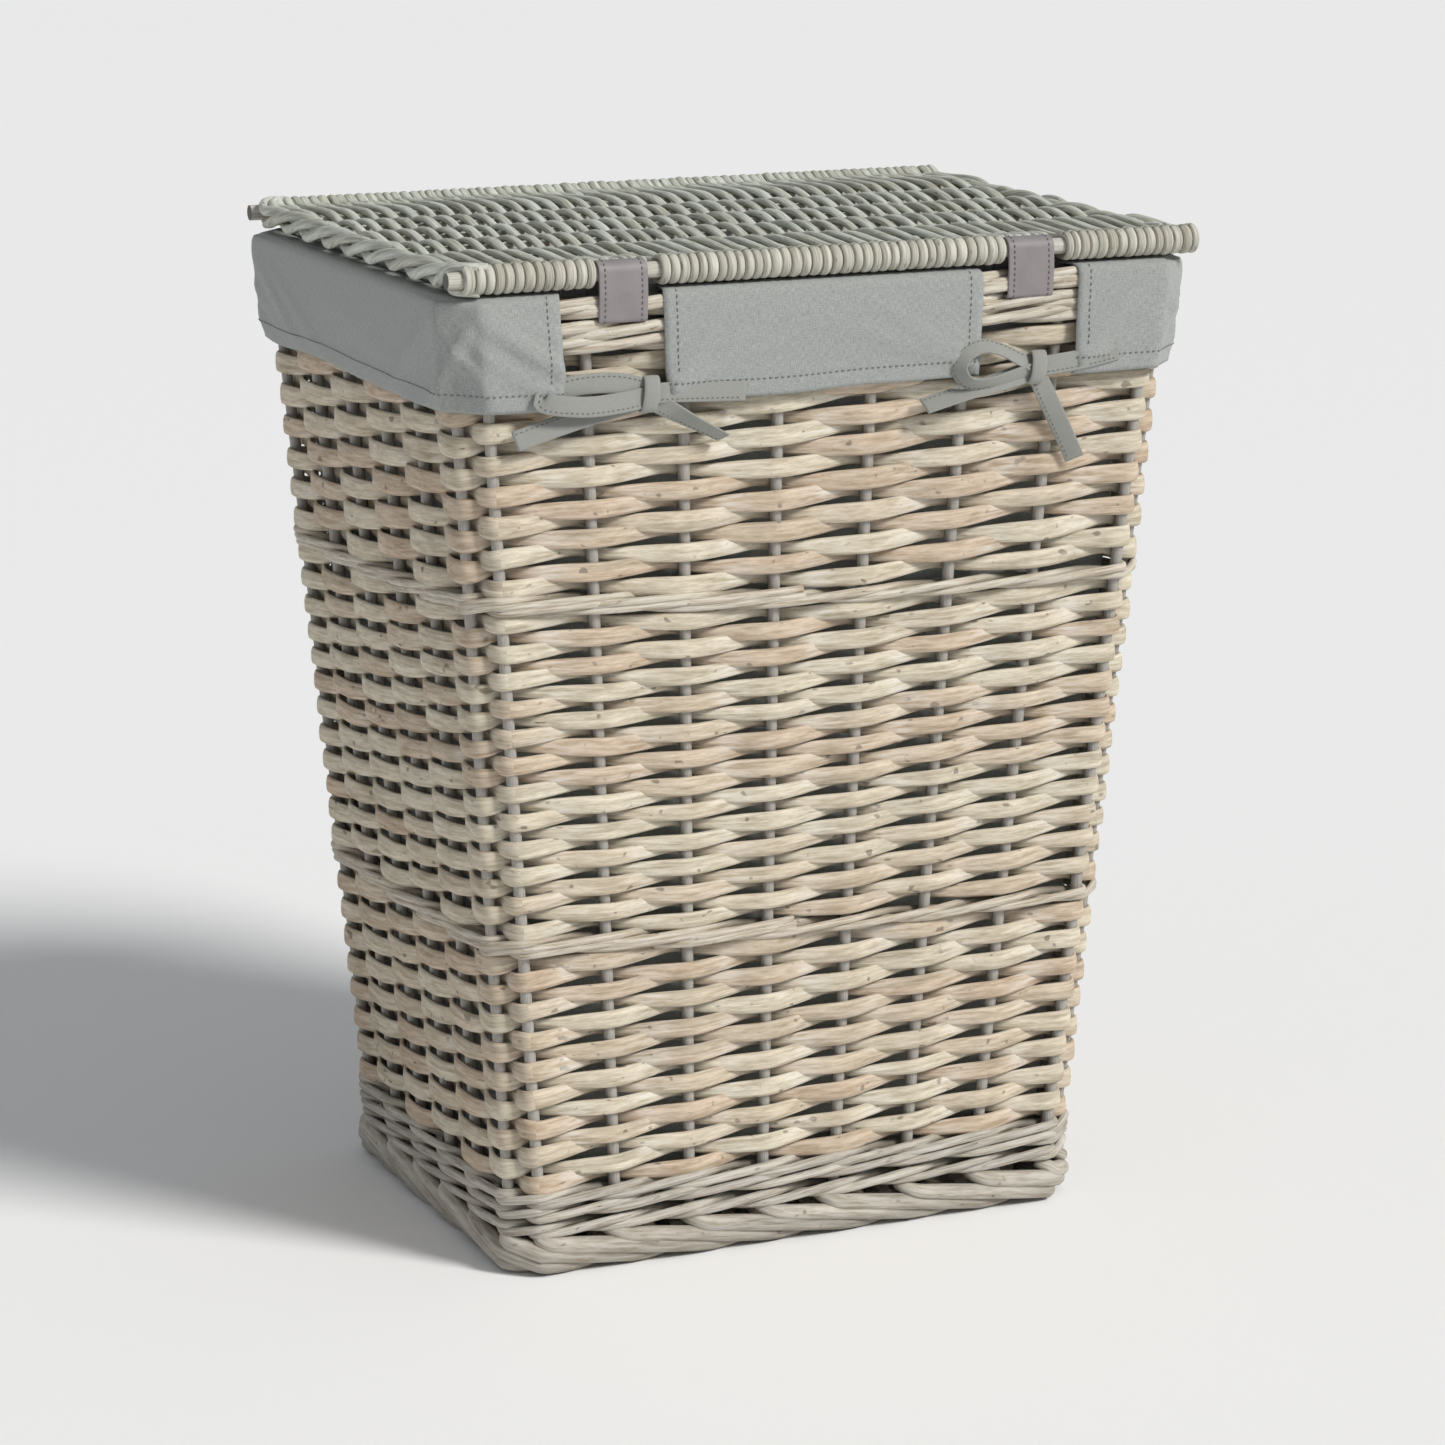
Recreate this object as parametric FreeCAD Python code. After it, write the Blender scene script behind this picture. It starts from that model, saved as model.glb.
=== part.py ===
import FreeCAD, Part
import math
import os

# A tall woven willow laundry basket with cut corners, a linen liner folded over its rim and a woven lid
# that swings on two leather straps.
# Millimetres. +Z is up, +X runs along the long side, the hinge side faces -Y, and the origin is on the
# floor at the middle of the foot.

V = FreeCAD.Vector

# Overall sizes, to the outside of the weave.
rim_length = 442.0
rim_width = 336.0
foot_length = 354.0
foot_width = 264.0
rim_height = 560.0
corner_cut = 17.0
wall = 13.0

# Heights of the bands. The upper weave fills what is left under the rim.
foot_border_height = 20.0
foot_wale_height = 30.0
lower_weave_height = 135.0
wale_height = 12.0
middle_weave_height = 181.0
rim_wale_height = 20.0
rim_border_height = 14.0

# How far the round rods of a wale and of the foot border stand proud of the weave.
wale_proud = 1.0
foot_proud = 3.0

# Uprights.
stake_diameter = 6.5
long_side_stakes = 8
short_side_stakes = 6
stake_clearance = 0.15
stake_end_gap = 0.5

# Woven base.
base_bottom = 12.0
base_thickness = 12.0
base_stick_diameter = 7.0
base_sticks = 7
base_clearance = 0.2

# Linen liner.
linen = 1.2
liner_room = 4.0
liner_floor_gap = 0.5
cuff_drop = 60.0
cuff_room = 2.0
cuff_rim_gap = 0.3

# Leather hinge straps, each in a bay between two uprights of the hinge side.
strap_width = 28.0
strap_thickness = 2.0
strap_clearance = 0.3
strap_slot_clearance = 0.5
left_strap_bay = 1
right_strap_bay = 5
left_strap_offset = 0.6
right_strap_offset = 5.0
gap_beyond_strap_left = 18.0
gap_beyond_strap_right = 12.0

# Lid.
lid_overhang = 1.0
lid_rod_diameter = 9.0
lid_rod_inset = 4.0
lid_wrap_diameter = 17.0
lid_wrap_clearance = 0.15
lid_rod_end = 8.0
lid_rest_gap = 0.5
lid_weave_thickness = 10.0
lid_stick_diameter = 6.0
lid_sticks = 5
lid_edge_clearance = 0.3
braid_width = 13.0
braid_thickness = 12.0
notch_before_strap = 1.5
notch_after_strap = 8.0
notch_depth = 10.0

# Tape bows.
tape_width = 11.0
tape_thickness = 1.2
knot_width = 14.0
knot_thickness = 3.5
tie_room = 3.5
tie_joint = 0.1
knot_above_hem = 5.0
left_knot_offset = 14.0
right_knot_offset = 3.5

# Levels and places that follow.
foot_wale_top = foot_border_height + foot_wale_height
lower_weave_top = foot_wale_top + lower_weave_height
lower_wale_top = lower_weave_top + wale_height
middle_weave_top = lower_wale_top + middle_weave_height
upper_wale_top = middle_weave_top + wale_height
rim_border_bottom = rim_height - rim_border_height
rim_wale_bottom = rim_border_bottom - rim_wale_height
cuff_underside = rim_height + cuff_rim_gap
cuff_top = cuff_underside + linen
cuff_hem = rim_height - cuff_drop
liner_outer = wall + liner_room
liner_inner = liner_outer + linen
hinge_y = rim_width / 2 - lid_rod_inset
hinge_z = cuff_top + lid_rest_gap + lid_wrap_diameter / 2
lid_half_length = rim_length / 2 + lid_overhang
lid_inner_y = hinge_y - lid_wrap_diameter / 2 - lid_edge_clearance
lid_inner_x = lid_half_length - braid_width
stake_bottom = foot_border_height + stake_end_gap
stake_top = rim_border_bottom - stake_end_gap

# The outline's edges that are sides, counted from the hinge side's left corner.
HINGE_SIDE = 0
RIGHT_SIDE = 2
BACK_SIDE = 4
LEFT_SIDE = 6


def half_length(z):
    """Half the basket's length at height z, to the outside of the weave."""
    return foot_length / 2 + (rim_length - foot_length) / 2 * z / rim_height


def half_width(z):
    """Half the basket's width at height z, to the outside of the weave."""
    return foot_width / 2 + (rim_width - foot_width) / 2 * z / rim_height


def outline(z, inset):
    """Eight corners of the cut-cornered rectangle that lies inset from the weave's outside at height z."""
    cut = corner_cut - inset * (2 - math.sqrt(2))
    x = half_length(z) - inset
    y = half_width(z) - inset
    corners = [
        (cut - x, -y), (x - cut, -y), (x, cut - y), (x, y - cut),
        (x - cut, y), (cut - x, y), (-x, y - cut), (-x, cut - y),
    ]
    return [V(cx, cy, z) for cx, cy in corners]


def flat_face(points):
    """Flat face with straight edges through the points."""
    return Part.Face(Part.makePolygon(points + points[:1]))


def prism(lower, upper):
    """Solid with flat faces between two outlines that have the same number of corners."""
    faces = [flat_face(lower), flat_face(upper)]
    for i in range(len(lower)):
        j = (i + 1) % len(lower)
        faces.append(flat_face([lower[i], lower[j], upper[j], upper[i]]))
    shell = Part.makeShell(faces)
    shell.sewShape()
    solid = Part.makeSolid(shell)
    if solid.Volume < 0:
        solid.reverse()
    return solid


def tapered_block(bottom, top, inset):
    """The cut-cornered block that lies inset from the weave's outside, between two heights."""
    return prism(outline(bottom, inset), outline(top, inset))


def box(low, high):
    """Square block between two opposite corners."""
    size = high - low
    return Part.makeBox(size.x, size.y, size.z, low)


def rod(start, end, diameter):
    """Round rod between two points."""
    return Part.makeCylinder(diameter / 2, (end - start).Length, start, end - start)


def export(name, solids):
    """One STEP file for a piece, or for a group of like pieces."""
    Part.makeCompound(solids).exportStep("parts/" + name + ".step")


def stake_ends(side, count):
    """Lower and upper end of each upright along one side, in the middle of the wall."""
    low = outline(stake_bottom, wall / 2)
    high = outline(stake_top, wall / 2)
    last = (side + 1) % 8
    ends = []
    for i in range(count):
        share = i / (count - 1)
        start = low[side] + (low[last] - low[side]) * share
        end = high[side] + (high[last] - high[side]) * share
        ends.append((start, end))
    return ends


def stake_x(index, z):
    """X of an upright of the hinge side at height z."""
    start, end = stake_ends(HINGE_SIDE, long_side_stakes)[index]
    return start.x + (end.x - start.x) * (z - start.z) / (end.z - start.z)


def ring(bottom, top, proud, cutters):
    """Eight lengths of wall that meet in mitres, four sides and four corners, with the uprights' channels."""
    outer_low = outline(bottom, -proud)
    inner_low = outline(bottom, wall + proud)
    outer_high = outline(top, -proud)
    inner_high = outline(top, wall + proud)
    lengths = []
    for i in range(8):
        j = (i + 1) % 8
        low = [outer_low[i], outer_low[j], inner_low[j], inner_low[i]]
        high = [outer_high[i], outer_high[j], inner_high[j], inner_high[i]]
        length = prism(low, high)
        near = [c for c in cutters if c.BoundBox.intersect(length.BoundBox)]
        if near:
            length = length.cut(near)
        lengths.extend(length.Solids)
    return lengths


def belt(pulleys, x):
    """Face at x inside a tight belt round the pulleys, each (y, z, radius), anticlockwise seen from +X."""
    count = len(pulleys)
    normals = []
    for i in range(count):
        y0, z0, r0 = pulleys[i]
        y1, z1, r1 = pulleys[(i + 1) % count]
        run = math.hypot(y1 - y0, z1 - z0)
        along = ((y1 - y0) / run, (z1 - z0) / run)
        lean = (r0 - r1) / run
        square = math.sqrt(1 - lean * lean)
        normals.append((along[0] * lean + along[1] * square, along[1] * lean - along[0] * square))
    edges = []
    for i in range(count):
        y, z, r = pulleys[i]
        y1, z1, r1 = pulleys[(i + 1) % count]
        before = normals[i - 1]
        after = normals[i]
        middle = (before[0] + after[0], before[1] + after[1])
        size = math.hypot(middle[0], middle[1])
        first = V(x, y + r * before[0], z + r * before[1])
        crown = V(x, y + r * middle[0] / size, z + r * middle[1] / size)
        last = V(x, y + r * after[0], z + r * after[1])
        edges.append(Part.Arc(first, crown, last).toShape())
        edges.append(Part.LineSegment(last, V(x, y1 + r1 * after[0], z1 + r1 * after[1])).toShape())
    return Part.Face(Part.Wire(edges))


def on_front(points, room, thickness):
    """Flat piece that lies room clear of the hinge side's weave, from its outline as (x, z) points."""
    face = flat_face([V(x, -half_width(z) - room, z) for x, z in points])
    return face.extrude(V(0, -thickness, 0))


def tape(start, end):
    """Outline of a straight length of tape between two (x, z) points."""
    run = math.hypot(end[0] - start[0], end[1] - start[1])
    side_x = -(end[1] - start[1]) / run * tape_width / 2
    side_z = (end[0] - start[0]) / run * tape_width / 2
    return [
        (start[0] + side_x, start[1] + side_z), (start[0] - side_x, start[1] - side_z),
        (end[0] - side_x, end[1] - side_z), (end[0] + side_x, end[1] + side_z),
    ]


def square(x, z, half):
    """Outline of an upright square round the point (x, z)."""
    return [(x - half, z - half), (x + half, z - half), (x + half, z + half), (x - half, z + half)]


def strap_span(side):
    """Left and right edge of a hinge strap, held off an upright of its bay."""
    level = rim_wale_bottom
    if side == "left":
        left = stake_x(left_strap_bay, level) + stake_diameter / 2 + left_strap_offset
        return left, left + strap_width
    right = stake_x(right_strap_bay + 1, level) - stake_diameter / 2 - right_strap_offset
    return right - strap_width, right


straps = {"left": strap_span("left"), "right": strap_span("right")}


def make_walls():
    """The wall, as bands of weave and wale from the floor to the rim."""
    sides = [
        ("front_stakes", HINGE_SIDE, long_side_stakes), ("back_stakes", BACK_SIDE, long_side_stakes),
        ("left_stakes", LEFT_SIDE, short_side_stakes), ("right_stakes", RIGHT_SIDE, short_side_stakes),
    ]
    channels = []
    for name, side, count in sides:
        ends = stake_ends(side, count)
        export(name, [rod(start, end, stake_diameter) for start, end in ends])
        for start, end in ends:
            overrun = (end - start) * (stake_end_gap / (stake_top - stake_bottom))
            channels.append(rod(start - overrun, end + overrun, stake_diameter + 2 * stake_clearance))

    slots = []
    slot_height = strap_thickness + strap_clearance + strap_slot_clearance
    for left, right in straps.values():
        low = V(left - strap_slot_clearance, -rim_width, rim_wale_bottom - slot_height)
        high = V(right + strap_slot_clearance, 0, rim_wale_bottom)
        slots.append(box(low, high))

    export("foot_border", ring(0, foot_border_height, foot_proud, []))
    export("foot_wale", ring(foot_border_height, foot_wale_top, wale_proud, channels))
    export("lower_weave", ring(foot_wale_top, lower_weave_top, 0, channels))
    export("lower_wale", ring(lower_weave_top, lower_wale_top, wale_proud, channels))
    export("middle_weave", ring(lower_wale_top, middle_weave_top, 0, channels))
    export("upper_wale", ring(middle_weave_top, upper_wale_top, wale_proud, channels))
    export("upper_weave", ring(upper_wale_top, rim_wale_bottom, 0, channels + slots))
    export("rim_wale", ring(rim_wale_bottom, rim_border_bottom, wale_proud, channels))
    export("rim_border", ring(rim_border_bottom, rim_height, wale_proud, []))


def make_base():
    """The woven floor, with its sticks lying lengthwise inside it."""
    inset = wall + max(wale_proud, foot_proud) + base_clearance
    bottom = outline(base_bottom, inset)
    slab = prism(bottom, [p + V(0, 0, base_thickness) for p in bottom])
    reach = max(p.x for p in bottom)
    breadth = max(p.y for p in bottom)
    level = base_bottom + base_thickness / 2
    end_gap = corner_cut
    sticks = []
    channels = []
    for i in range(base_sticks):
        y = breadth * (2 * (i + 1) / (base_sticks + 1) - 1)
        start = V(end_gap - reach, y, level)
        end = V(reach - end_gap, y, level)
        sticks.append(rod(start, end, base_stick_diameter))
        channels.append(rod(start, end, base_stick_diameter + 2 * stake_clearance))
    export("base_sticks", sticks)
    export("base_weave", slab.cut(channels).Solids)


def make_liner():
    """The linen bag, and its cuff folded over the rim, which is open round each strap."""
    bag_bottom = base_bottom + base_thickness + liner_floor_gap
    bag = tapered_block(bag_bottom, cuff_underside, liner_outer)
    hollow = tapered_block(bag_bottom + linen, cuff_top + linen, liner_inner)
    export("liner_bag", bag.cut(hollow).Solids)

    cuff = tapered_block(cuff_hem, cuff_top, -cuff_room - linen)
    cuff = cuff.cut(tapered_block(cuff_hem - linen, cuff_underside, -cuff_room))
    cuff = cuff.cut(tapered_block(cuff_hem - linen, cuff_top + linen, liner_inner))
    for left, right in straps.values():
        low = V(left - gap_beyond_strap_left, -rim_width, cuff_hem - linen)
        high = V(right + gap_beyond_strap_right, liner_inner + linen - rim_width / 2, cuff_top + linen)
        cuff = cuff.cut(box(low, high))
    pieces = sorted(cuff.Solids, key=lambda piece: piece.BoundBox.XLength)
    export("liner_cuff_front", pieces[:-1])
    export("liner_cuff_sides", pieces[-1:])


def make_tie(side, knot_x, loop, tails):
    """A bow: the knot, its loop as (x, z) points from the knot, and its tails as pairs of such points."""
    knot_z = cuff_hem + knot_above_hem
    half = knot_width / 2
    knot = square(knot_x, knot_z, half)
    grown = square(knot_x, knot_z, half + tie_joint)
    loop = [(knot_x + x, knot_z + z) for x, z in loop]
    lengths = []
    for start, end in tails:
        lengths.append(tape((knot_x + start[0], knot_z + start[1]), (knot_x + end[0], knot_z + end[1])))
    export(side + "_tie_knot", [on_front(knot, tie_room, knot_thickness)])
    export(side + "_tie_loop", [on_front(loop, tie_room, tape_thickness)])
    around = on_front(grown, tie_room - tie_joint, knot_thickness)
    export(side + "_tie_tails", [on_front(p, tie_room, tape_thickness).cut(around) for p in lengths])


def make_ties():
    """The two bows that close the cuff's gaps under the straps."""
    edge = knot_width / 2 + tie_joint
    left_knot = sum(straps["left"]) / 2 + left_knot_offset
    left_loop = [(-edge, 5), (-30, 9), (-52, 6), (-61, 0), (-52, -4), (-30, -4), (-edge, -2)]
    left_tails = [((-6, -9), (-75, -21)), ((3, 1), (57, -3)), ((2, -12), (43, -28))]
    make_tie("left", left_knot, left_loop, left_tails)
    right_knot = sum(straps["right"]) / 2 + right_knot_offset
    right_loop = [(-edge, 5), (-28, 16), (-50, 18), (-52, 10), (-30, -2), (-edge, -3)]
    right_tails = [((-6, -9), (-68, -19)), ((3, 2), (52, 6)), ((2, -8), (29, -52))]
    make_tie("right", right_knot, right_loop, right_tails)


def make_straps():
    """The leather loops that hold the lid's front rod to the rim wale."""
    rim_corners = []
    for level, inset in [
        (rim_height, -wale_proud), (rim_wale_bottom, -wale_proud),
        (rim_wale_bottom, wall + wale_proud), (rim_height, wall + wale_proud),
    ]:
        rim_corners.append((inset - half_width(level), level))
    for side, (left, right) in straps.items():
        inner = [(-hinge_y, hinge_z, lid_rod_diameter / 2 + strap_clearance)]
        outer = [(-hinge_y, hinge_z, lid_rod_diameter / 2 + strap_clearance + strap_thickness)]
        for y, z in rim_corners:
            inner.append((y, z, strap_clearance))
            outer.append((y, z, strap_clearance + strap_thickness))
        section = belt(outer, left).cut(belt(inner, left))
        export(side + "_hinge_strap", section.extrude(V(right - left, 0, 0)).Solids)


def make_lid():
    """The lid: two rods, flat weavers wrapped round them, woven rods between, and a braid at each end."""
    front = V(0, -hinge_y, hinge_z)
    back = V(0, hinge_y, hinge_z)
    reach = V(lid_half_length, 0, 0)
    export("lid_front_rod", [rod(front - reach, front + reach, lid_rod_diameter)])
    export("lid_back_rod", [rod(back - reach, back + reach, lid_rod_diameter)])

    wrap_end = lid_half_length - lid_rod_end
    hole = lid_rod_diameter + 2 * lid_wrap_clearance
    notches = []
    for left, right in straps.values():
        notches.append((left - notch_before_strap, right + notch_after_strap))
    ends = [-wrap_end] + [x for notch in notches for x in notch] + [wrap_end]
    wraps = []
    for left, right in zip(ends[0::2], ends[1::2]):
        start = front + V(left, 0, 0)
        end = front + V(right, 0, 0)
        wraps.append(rod(start, end, lid_wrap_diameter).cut(rod(start, end, hole)))
    export("lid_front_wrap", wraps)
    start = back - V(wrap_end, 0, 0)
    end = back + V(wrap_end, 0, 0)
    export("lid_back_wrap", [rod(start, end, lid_wrap_diameter).cut(rod(start, end, hole))])

    half = lid_weave_thickness / 2
    weave_x = lid_inner_x - lid_edge_clearance
    notch_y = -lid_inner_y + notch_depth
    panels = [box(V(-weave_x, notch_y, hinge_z - half), V(weave_x, lid_inner_y, hinge_z + half))]
    ends = [-weave_x] + [x for notch in notches for x in notch] + [weave_x]
    for left, right in zip(ends[0::2], ends[1::2]):
        panels.append(box(V(left, -lid_inner_y, hinge_z - half), V(right, notch_y, hinge_z + half)))
    sticks = []
    channels = []
    for i in range(lid_sticks):
        y = lid_inner_y * (2 * (i + 1) / (lid_sticks + 1) - 1)
        start = V(-weave_x, y, hinge_z)
        end = V(weave_x, y, hinge_z)
        sticks.append(rod(start, end, lid_stick_diameter))
        channels.append(rod(start, end, lid_stick_diameter + 2 * stake_clearance))
    export("lid_cross_sticks", sticks)
    export("lid_weave", panels[0].cut(channels).Solids + panels[1:])

    half = braid_thickness / 2
    braid = box(V(lid_inner_x, -lid_inner_y, hinge_z - half), V(lid_half_length, lid_inner_y, hinge_z + half))
    export("lid_right_braid", [braid])
    export("lid_left_braid", [braid.mirror(V(0, 0, 0), V(1, 0, 0))])


os.makedirs("parts", exist_ok=True)
make_walls()
make_base()
make_liner()
make_ties()
make_straps()
make_lid()
print("hinge axis y", -hinge_y, "z", hinge_z)
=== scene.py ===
import math

import bpy
import numpy as np
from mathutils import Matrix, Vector


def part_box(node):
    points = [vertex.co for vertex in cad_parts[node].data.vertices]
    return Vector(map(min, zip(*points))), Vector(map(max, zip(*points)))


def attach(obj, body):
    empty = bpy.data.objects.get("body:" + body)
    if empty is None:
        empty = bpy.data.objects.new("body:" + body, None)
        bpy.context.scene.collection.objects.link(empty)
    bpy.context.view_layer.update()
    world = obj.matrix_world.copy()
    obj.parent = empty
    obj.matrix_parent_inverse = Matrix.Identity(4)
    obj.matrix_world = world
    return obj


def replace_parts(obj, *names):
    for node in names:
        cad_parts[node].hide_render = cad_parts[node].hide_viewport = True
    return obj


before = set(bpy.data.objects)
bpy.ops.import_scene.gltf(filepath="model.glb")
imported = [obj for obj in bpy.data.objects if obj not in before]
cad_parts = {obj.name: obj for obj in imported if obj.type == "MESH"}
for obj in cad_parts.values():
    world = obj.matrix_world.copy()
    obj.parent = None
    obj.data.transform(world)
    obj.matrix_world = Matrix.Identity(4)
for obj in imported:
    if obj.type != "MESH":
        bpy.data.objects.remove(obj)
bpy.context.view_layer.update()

scene = bpy.context.scene
MM = 0.001

# ---------------------------------------------------------------------------
# Studio: a long lens a little above the basket, off its left front corner.
# A broad key light stands to the right of the hinge side, over a pale floor.
# ---------------------------------------------------------------------------
CAMERA_PLACE = (-1.0348, -2.348, 0.8855)
CAMERA_TURN = 0.4183
CAMERA_DROP = 0.2328
CAMERA_LENS = 111.5

camera = bpy.data.objects.new("studio_camera", bpy.data.cameras.new("studio_camera"))
camera.data.lens = CAMERA_LENS
camera.data.sensor_width = 36.0
camera.location = CAMERA_PLACE
aim = Vector((
    math.sin(CAMERA_TURN) * math.cos(CAMERA_DROP),
    math.cos(CAMERA_TURN) * math.cos(CAMERA_DROP),
    -math.sin(CAMERA_DROP),
))
camera.rotation_euler = aim.to_track_quat("-Z", "Y").to_euler()
scene.collection.objects.link(camera)
scene.camera = camera
scene.view_settings.view_transform = "Standard"

LIGHTS = {
    "key": ((0.46, -0.66, 0.66), 2.75, 16.0, (1.0, 0.985, 0.955)),
    "side_fill": ((-0.85, -0.25, 0.45), 0.05, 50.0, (0.96, 0.98, 1.0)),
}
for light_name, (towards, strength, softness, tint) in LIGHTS.items():
    lamp = bpy.data.lights.new(light_name, "SUN")
    lamp.energy = strength
    lamp.angle = math.radians(softness)
    lamp.color = tint
    holder = bpy.data.objects.new(light_name, lamp)
    holder.rotation_euler = Vector(towards).to_track_quat("Z", "Y").to_euler()
    scene.collection.objects.link(holder)
world = bpy.data.worlds.new("studio")
world.use_nodes = True
world.node_tree.nodes["Background"].inputs["Color"].default_value = (0.93, 0.96, 1.0, 1.0)
world.node_tree.nodes["Background"].inputs["Strength"].default_value = 0.34
scene.world = world


def add(tree, kind, sockets=None, **settings):
    """A shader node of that kind. Sockets take a value, or another node's output."""
    new = tree.nodes.new(kind)
    for key, value in settings.items():
        setattr(new, key, value)
    for key, value in (sockets or {}).items():
        if isinstance(value, bpy.types.NodeSocket):
            tree.links.new(value, new.inputs[key])
        else:
            new.inputs[key].default_value = value
    return new


def material(name):
    """An empty material, with its Principled shader."""
    made = bpy.data.materials.new(name)
    made.use_nodes = True
    return made, made.node_tree, made.node_tree.nodes["Principled BSDF"]


floor_mesh = bpy.data.meshes.new("studio_floor")
FLOOR = 40.0
floor_mesh.from_pydata(
    [(-FLOOR, -FLOOR, 0), (FLOOR, -FLOOR, 0), (FLOOR, FLOOR, 0), (-FLOOR, FLOOR, 0)], [], [(0, 1, 2, 3)]
)
floor = bpy.data.objects.new("studio_floor", floor_mesh)
scene.collection.objects.link(floor)
floor_paint, _, floor_shader = material("studio_floor")
floor_shader.inputs["Base Color"].default_value = (0.95, 0.95, 0.95, 1.0)
floor_shader.inputs["Roughness"].default_value = 0.9
floor_mesh.materials.append(floor_paint)

# ---------------------------------------------------------------------------
# Woven base: split weavers run across seven lengthwise sticks, over one and
# under the next. The sticks are the frame's own; the weave stands for its slab.
# ---------------------------------------------------------------------------
BASE_PITCH = 8.2 * MM
BASE_STICK_RADIUS = 3.5 * MM
BASE_STICKS = 7
rng = np.random.default_rng(17)


def willow_group():
    """Skin of a willow rod: streaks along the grain, blotches, knots, a white wash and shade where it tucks in.
    Grain is a place in metres along the rod and in turns round it."""
    tree = bpy.data.node_groups.new("willow_skin", "ShaderNodeTree")
    face = tree.interface
    face.new_socket("Grain", in_out="INPUT", socket_type="NodeSocketVector")
    for word in ("Tone", "Wash", "Tuck"):
        face.new_socket(word, in_out="INPUT", socket_type="NodeSocketFloat")
    for word in ("Pale", "Warm", "Dull", "Chalk"):
        face.new_socket(word, in_out="INPUT", socket_type="NodeSocketColor")
    face.new_socket("Color", in_out="OUTPUT", socket_type="NodeSocketColor")
    face.new_socket("Roughness", in_out="OUTPUT", socket_type="NodeSocketFloat")
    face.new_socket("Height", in_out="OUTPUT", socket_type="NodeSocketFloat")
    given = add(tree, "NodeGroupInput").outputs
    shift = add(tree, "ShaderNodeCombineXYZ", {"X": given["Tone"], "Y": given["Tone"], "Z": given["Tone"]})
    apart = add(tree, "ShaderNodeVectorMath", {0: shift.outputs[0], 1: (7.1, 13.7, 29.3)}, operation="MULTIPLY")

    def noise(scale, detail):
        """Noise stretched by scale along and across the grain."""
        stretched = add(tree, "ShaderNodeVectorMath", {0: given["Grain"], 1: scale}, operation="MULTIPLY")
        moved = add(tree, "ShaderNodeVectorMath", {0: stretched.outputs[0], 1: apart.outputs[0]}, operation="ADD")
        return add(tree, "ShaderNodeTexNoise", {"Vector": moved.outputs[0], "Scale": 1.0, "Detail": detail}).outputs[0]

    def spread(value, low, high, start=0.0, end=1.0):
        """Value's range low to high, spread from start to end and held there."""
        return add(tree, "ShaderNodeMapRange", {
            "Value": value, "From Min": low, "From Max": high, "To Min": start, "To Max": end,
        }).outputs[0]

    def mix(share, first, second, how="MIX"):
        """Second laid over first."""
        new = add(tree, "ShaderNodeMix", {0: share}, data_type="RGBA", blend_type=how)
        for place, value in ((6, first), (7, second)):
            if isinstance(value, bpy.types.NodeSocket):
                tree.links.new(value, new.inputs[place])
            else:
                new.inputs[place].default_value = value
        return new.outputs[2]

    streaks = noise((55.0, 13.0, 13.0), 4.0)
    blotches = noise((13.0, 1.1, 1.1), 2.0)
    fibres = noise((190.0, 42.0, 42.0), 3.0)
    knots = noise((120.0, 4.5, 4.5), 1.0)
    body = mix(spread(given["Tone"], 0.25, 0.8), given["Pale"], given["Warm"])
    body = mix(spread(blotches, 0.48, 0.72, 0.0, 0.55), body, given["Dull"])
    body = mix(1.0, body, mix(spread(streaks, 0.3, 0.7), (0.70, 0.68, 0.65, 1), (1.10, 1.10, 1.10, 1)), "MULTIPLY")
    body = mix(1.0, body, mix(spread(fibres, 0.3, 0.62), (0.82, 0.81, 0.79, 1), (1.04, 1.04, 1.04, 1)), "MULTIPLY")
    body = mix(spread(knots, 0.70, 0.75, 0.0, 0.75), body, (0.14, 0.105, 0.07, 1))
    patchy = add(tree, "ShaderNodeMath", {0: spread(streaks, 0.36, 0.62), 1: given["Wash"]}, operation="MULTIPLY")
    body = mix(patchy.outputs[0], body, given["Chalk"])
    # Painted shade: the colour is drawn towards dark brown where a rod tucks in behind or under its neighbours.
    body = mix(spread(given["Tuck"], 0.0, 1.0, 0.0, 0.7), body, (0.12, 0.105, 0.085, 1))
    height = add(tree, "ShaderNodeMath", {0: streaks, 1: fibres}, operation="ADD")
    result = add(tree, "NodeGroupOutput")
    tree.links.new(body, result.inputs["Color"])
    tree.links.new(spread(blotches, 0.3, 0.7, 0.55, 0.8), result.inputs["Roughness"])
    tree.links.new(height.outputs[0], result.inputs["Height"])
    return tree


willow_skin = willow_group()


SAWN = (0.13, 0.125, 0.12, 1.0)


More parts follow.
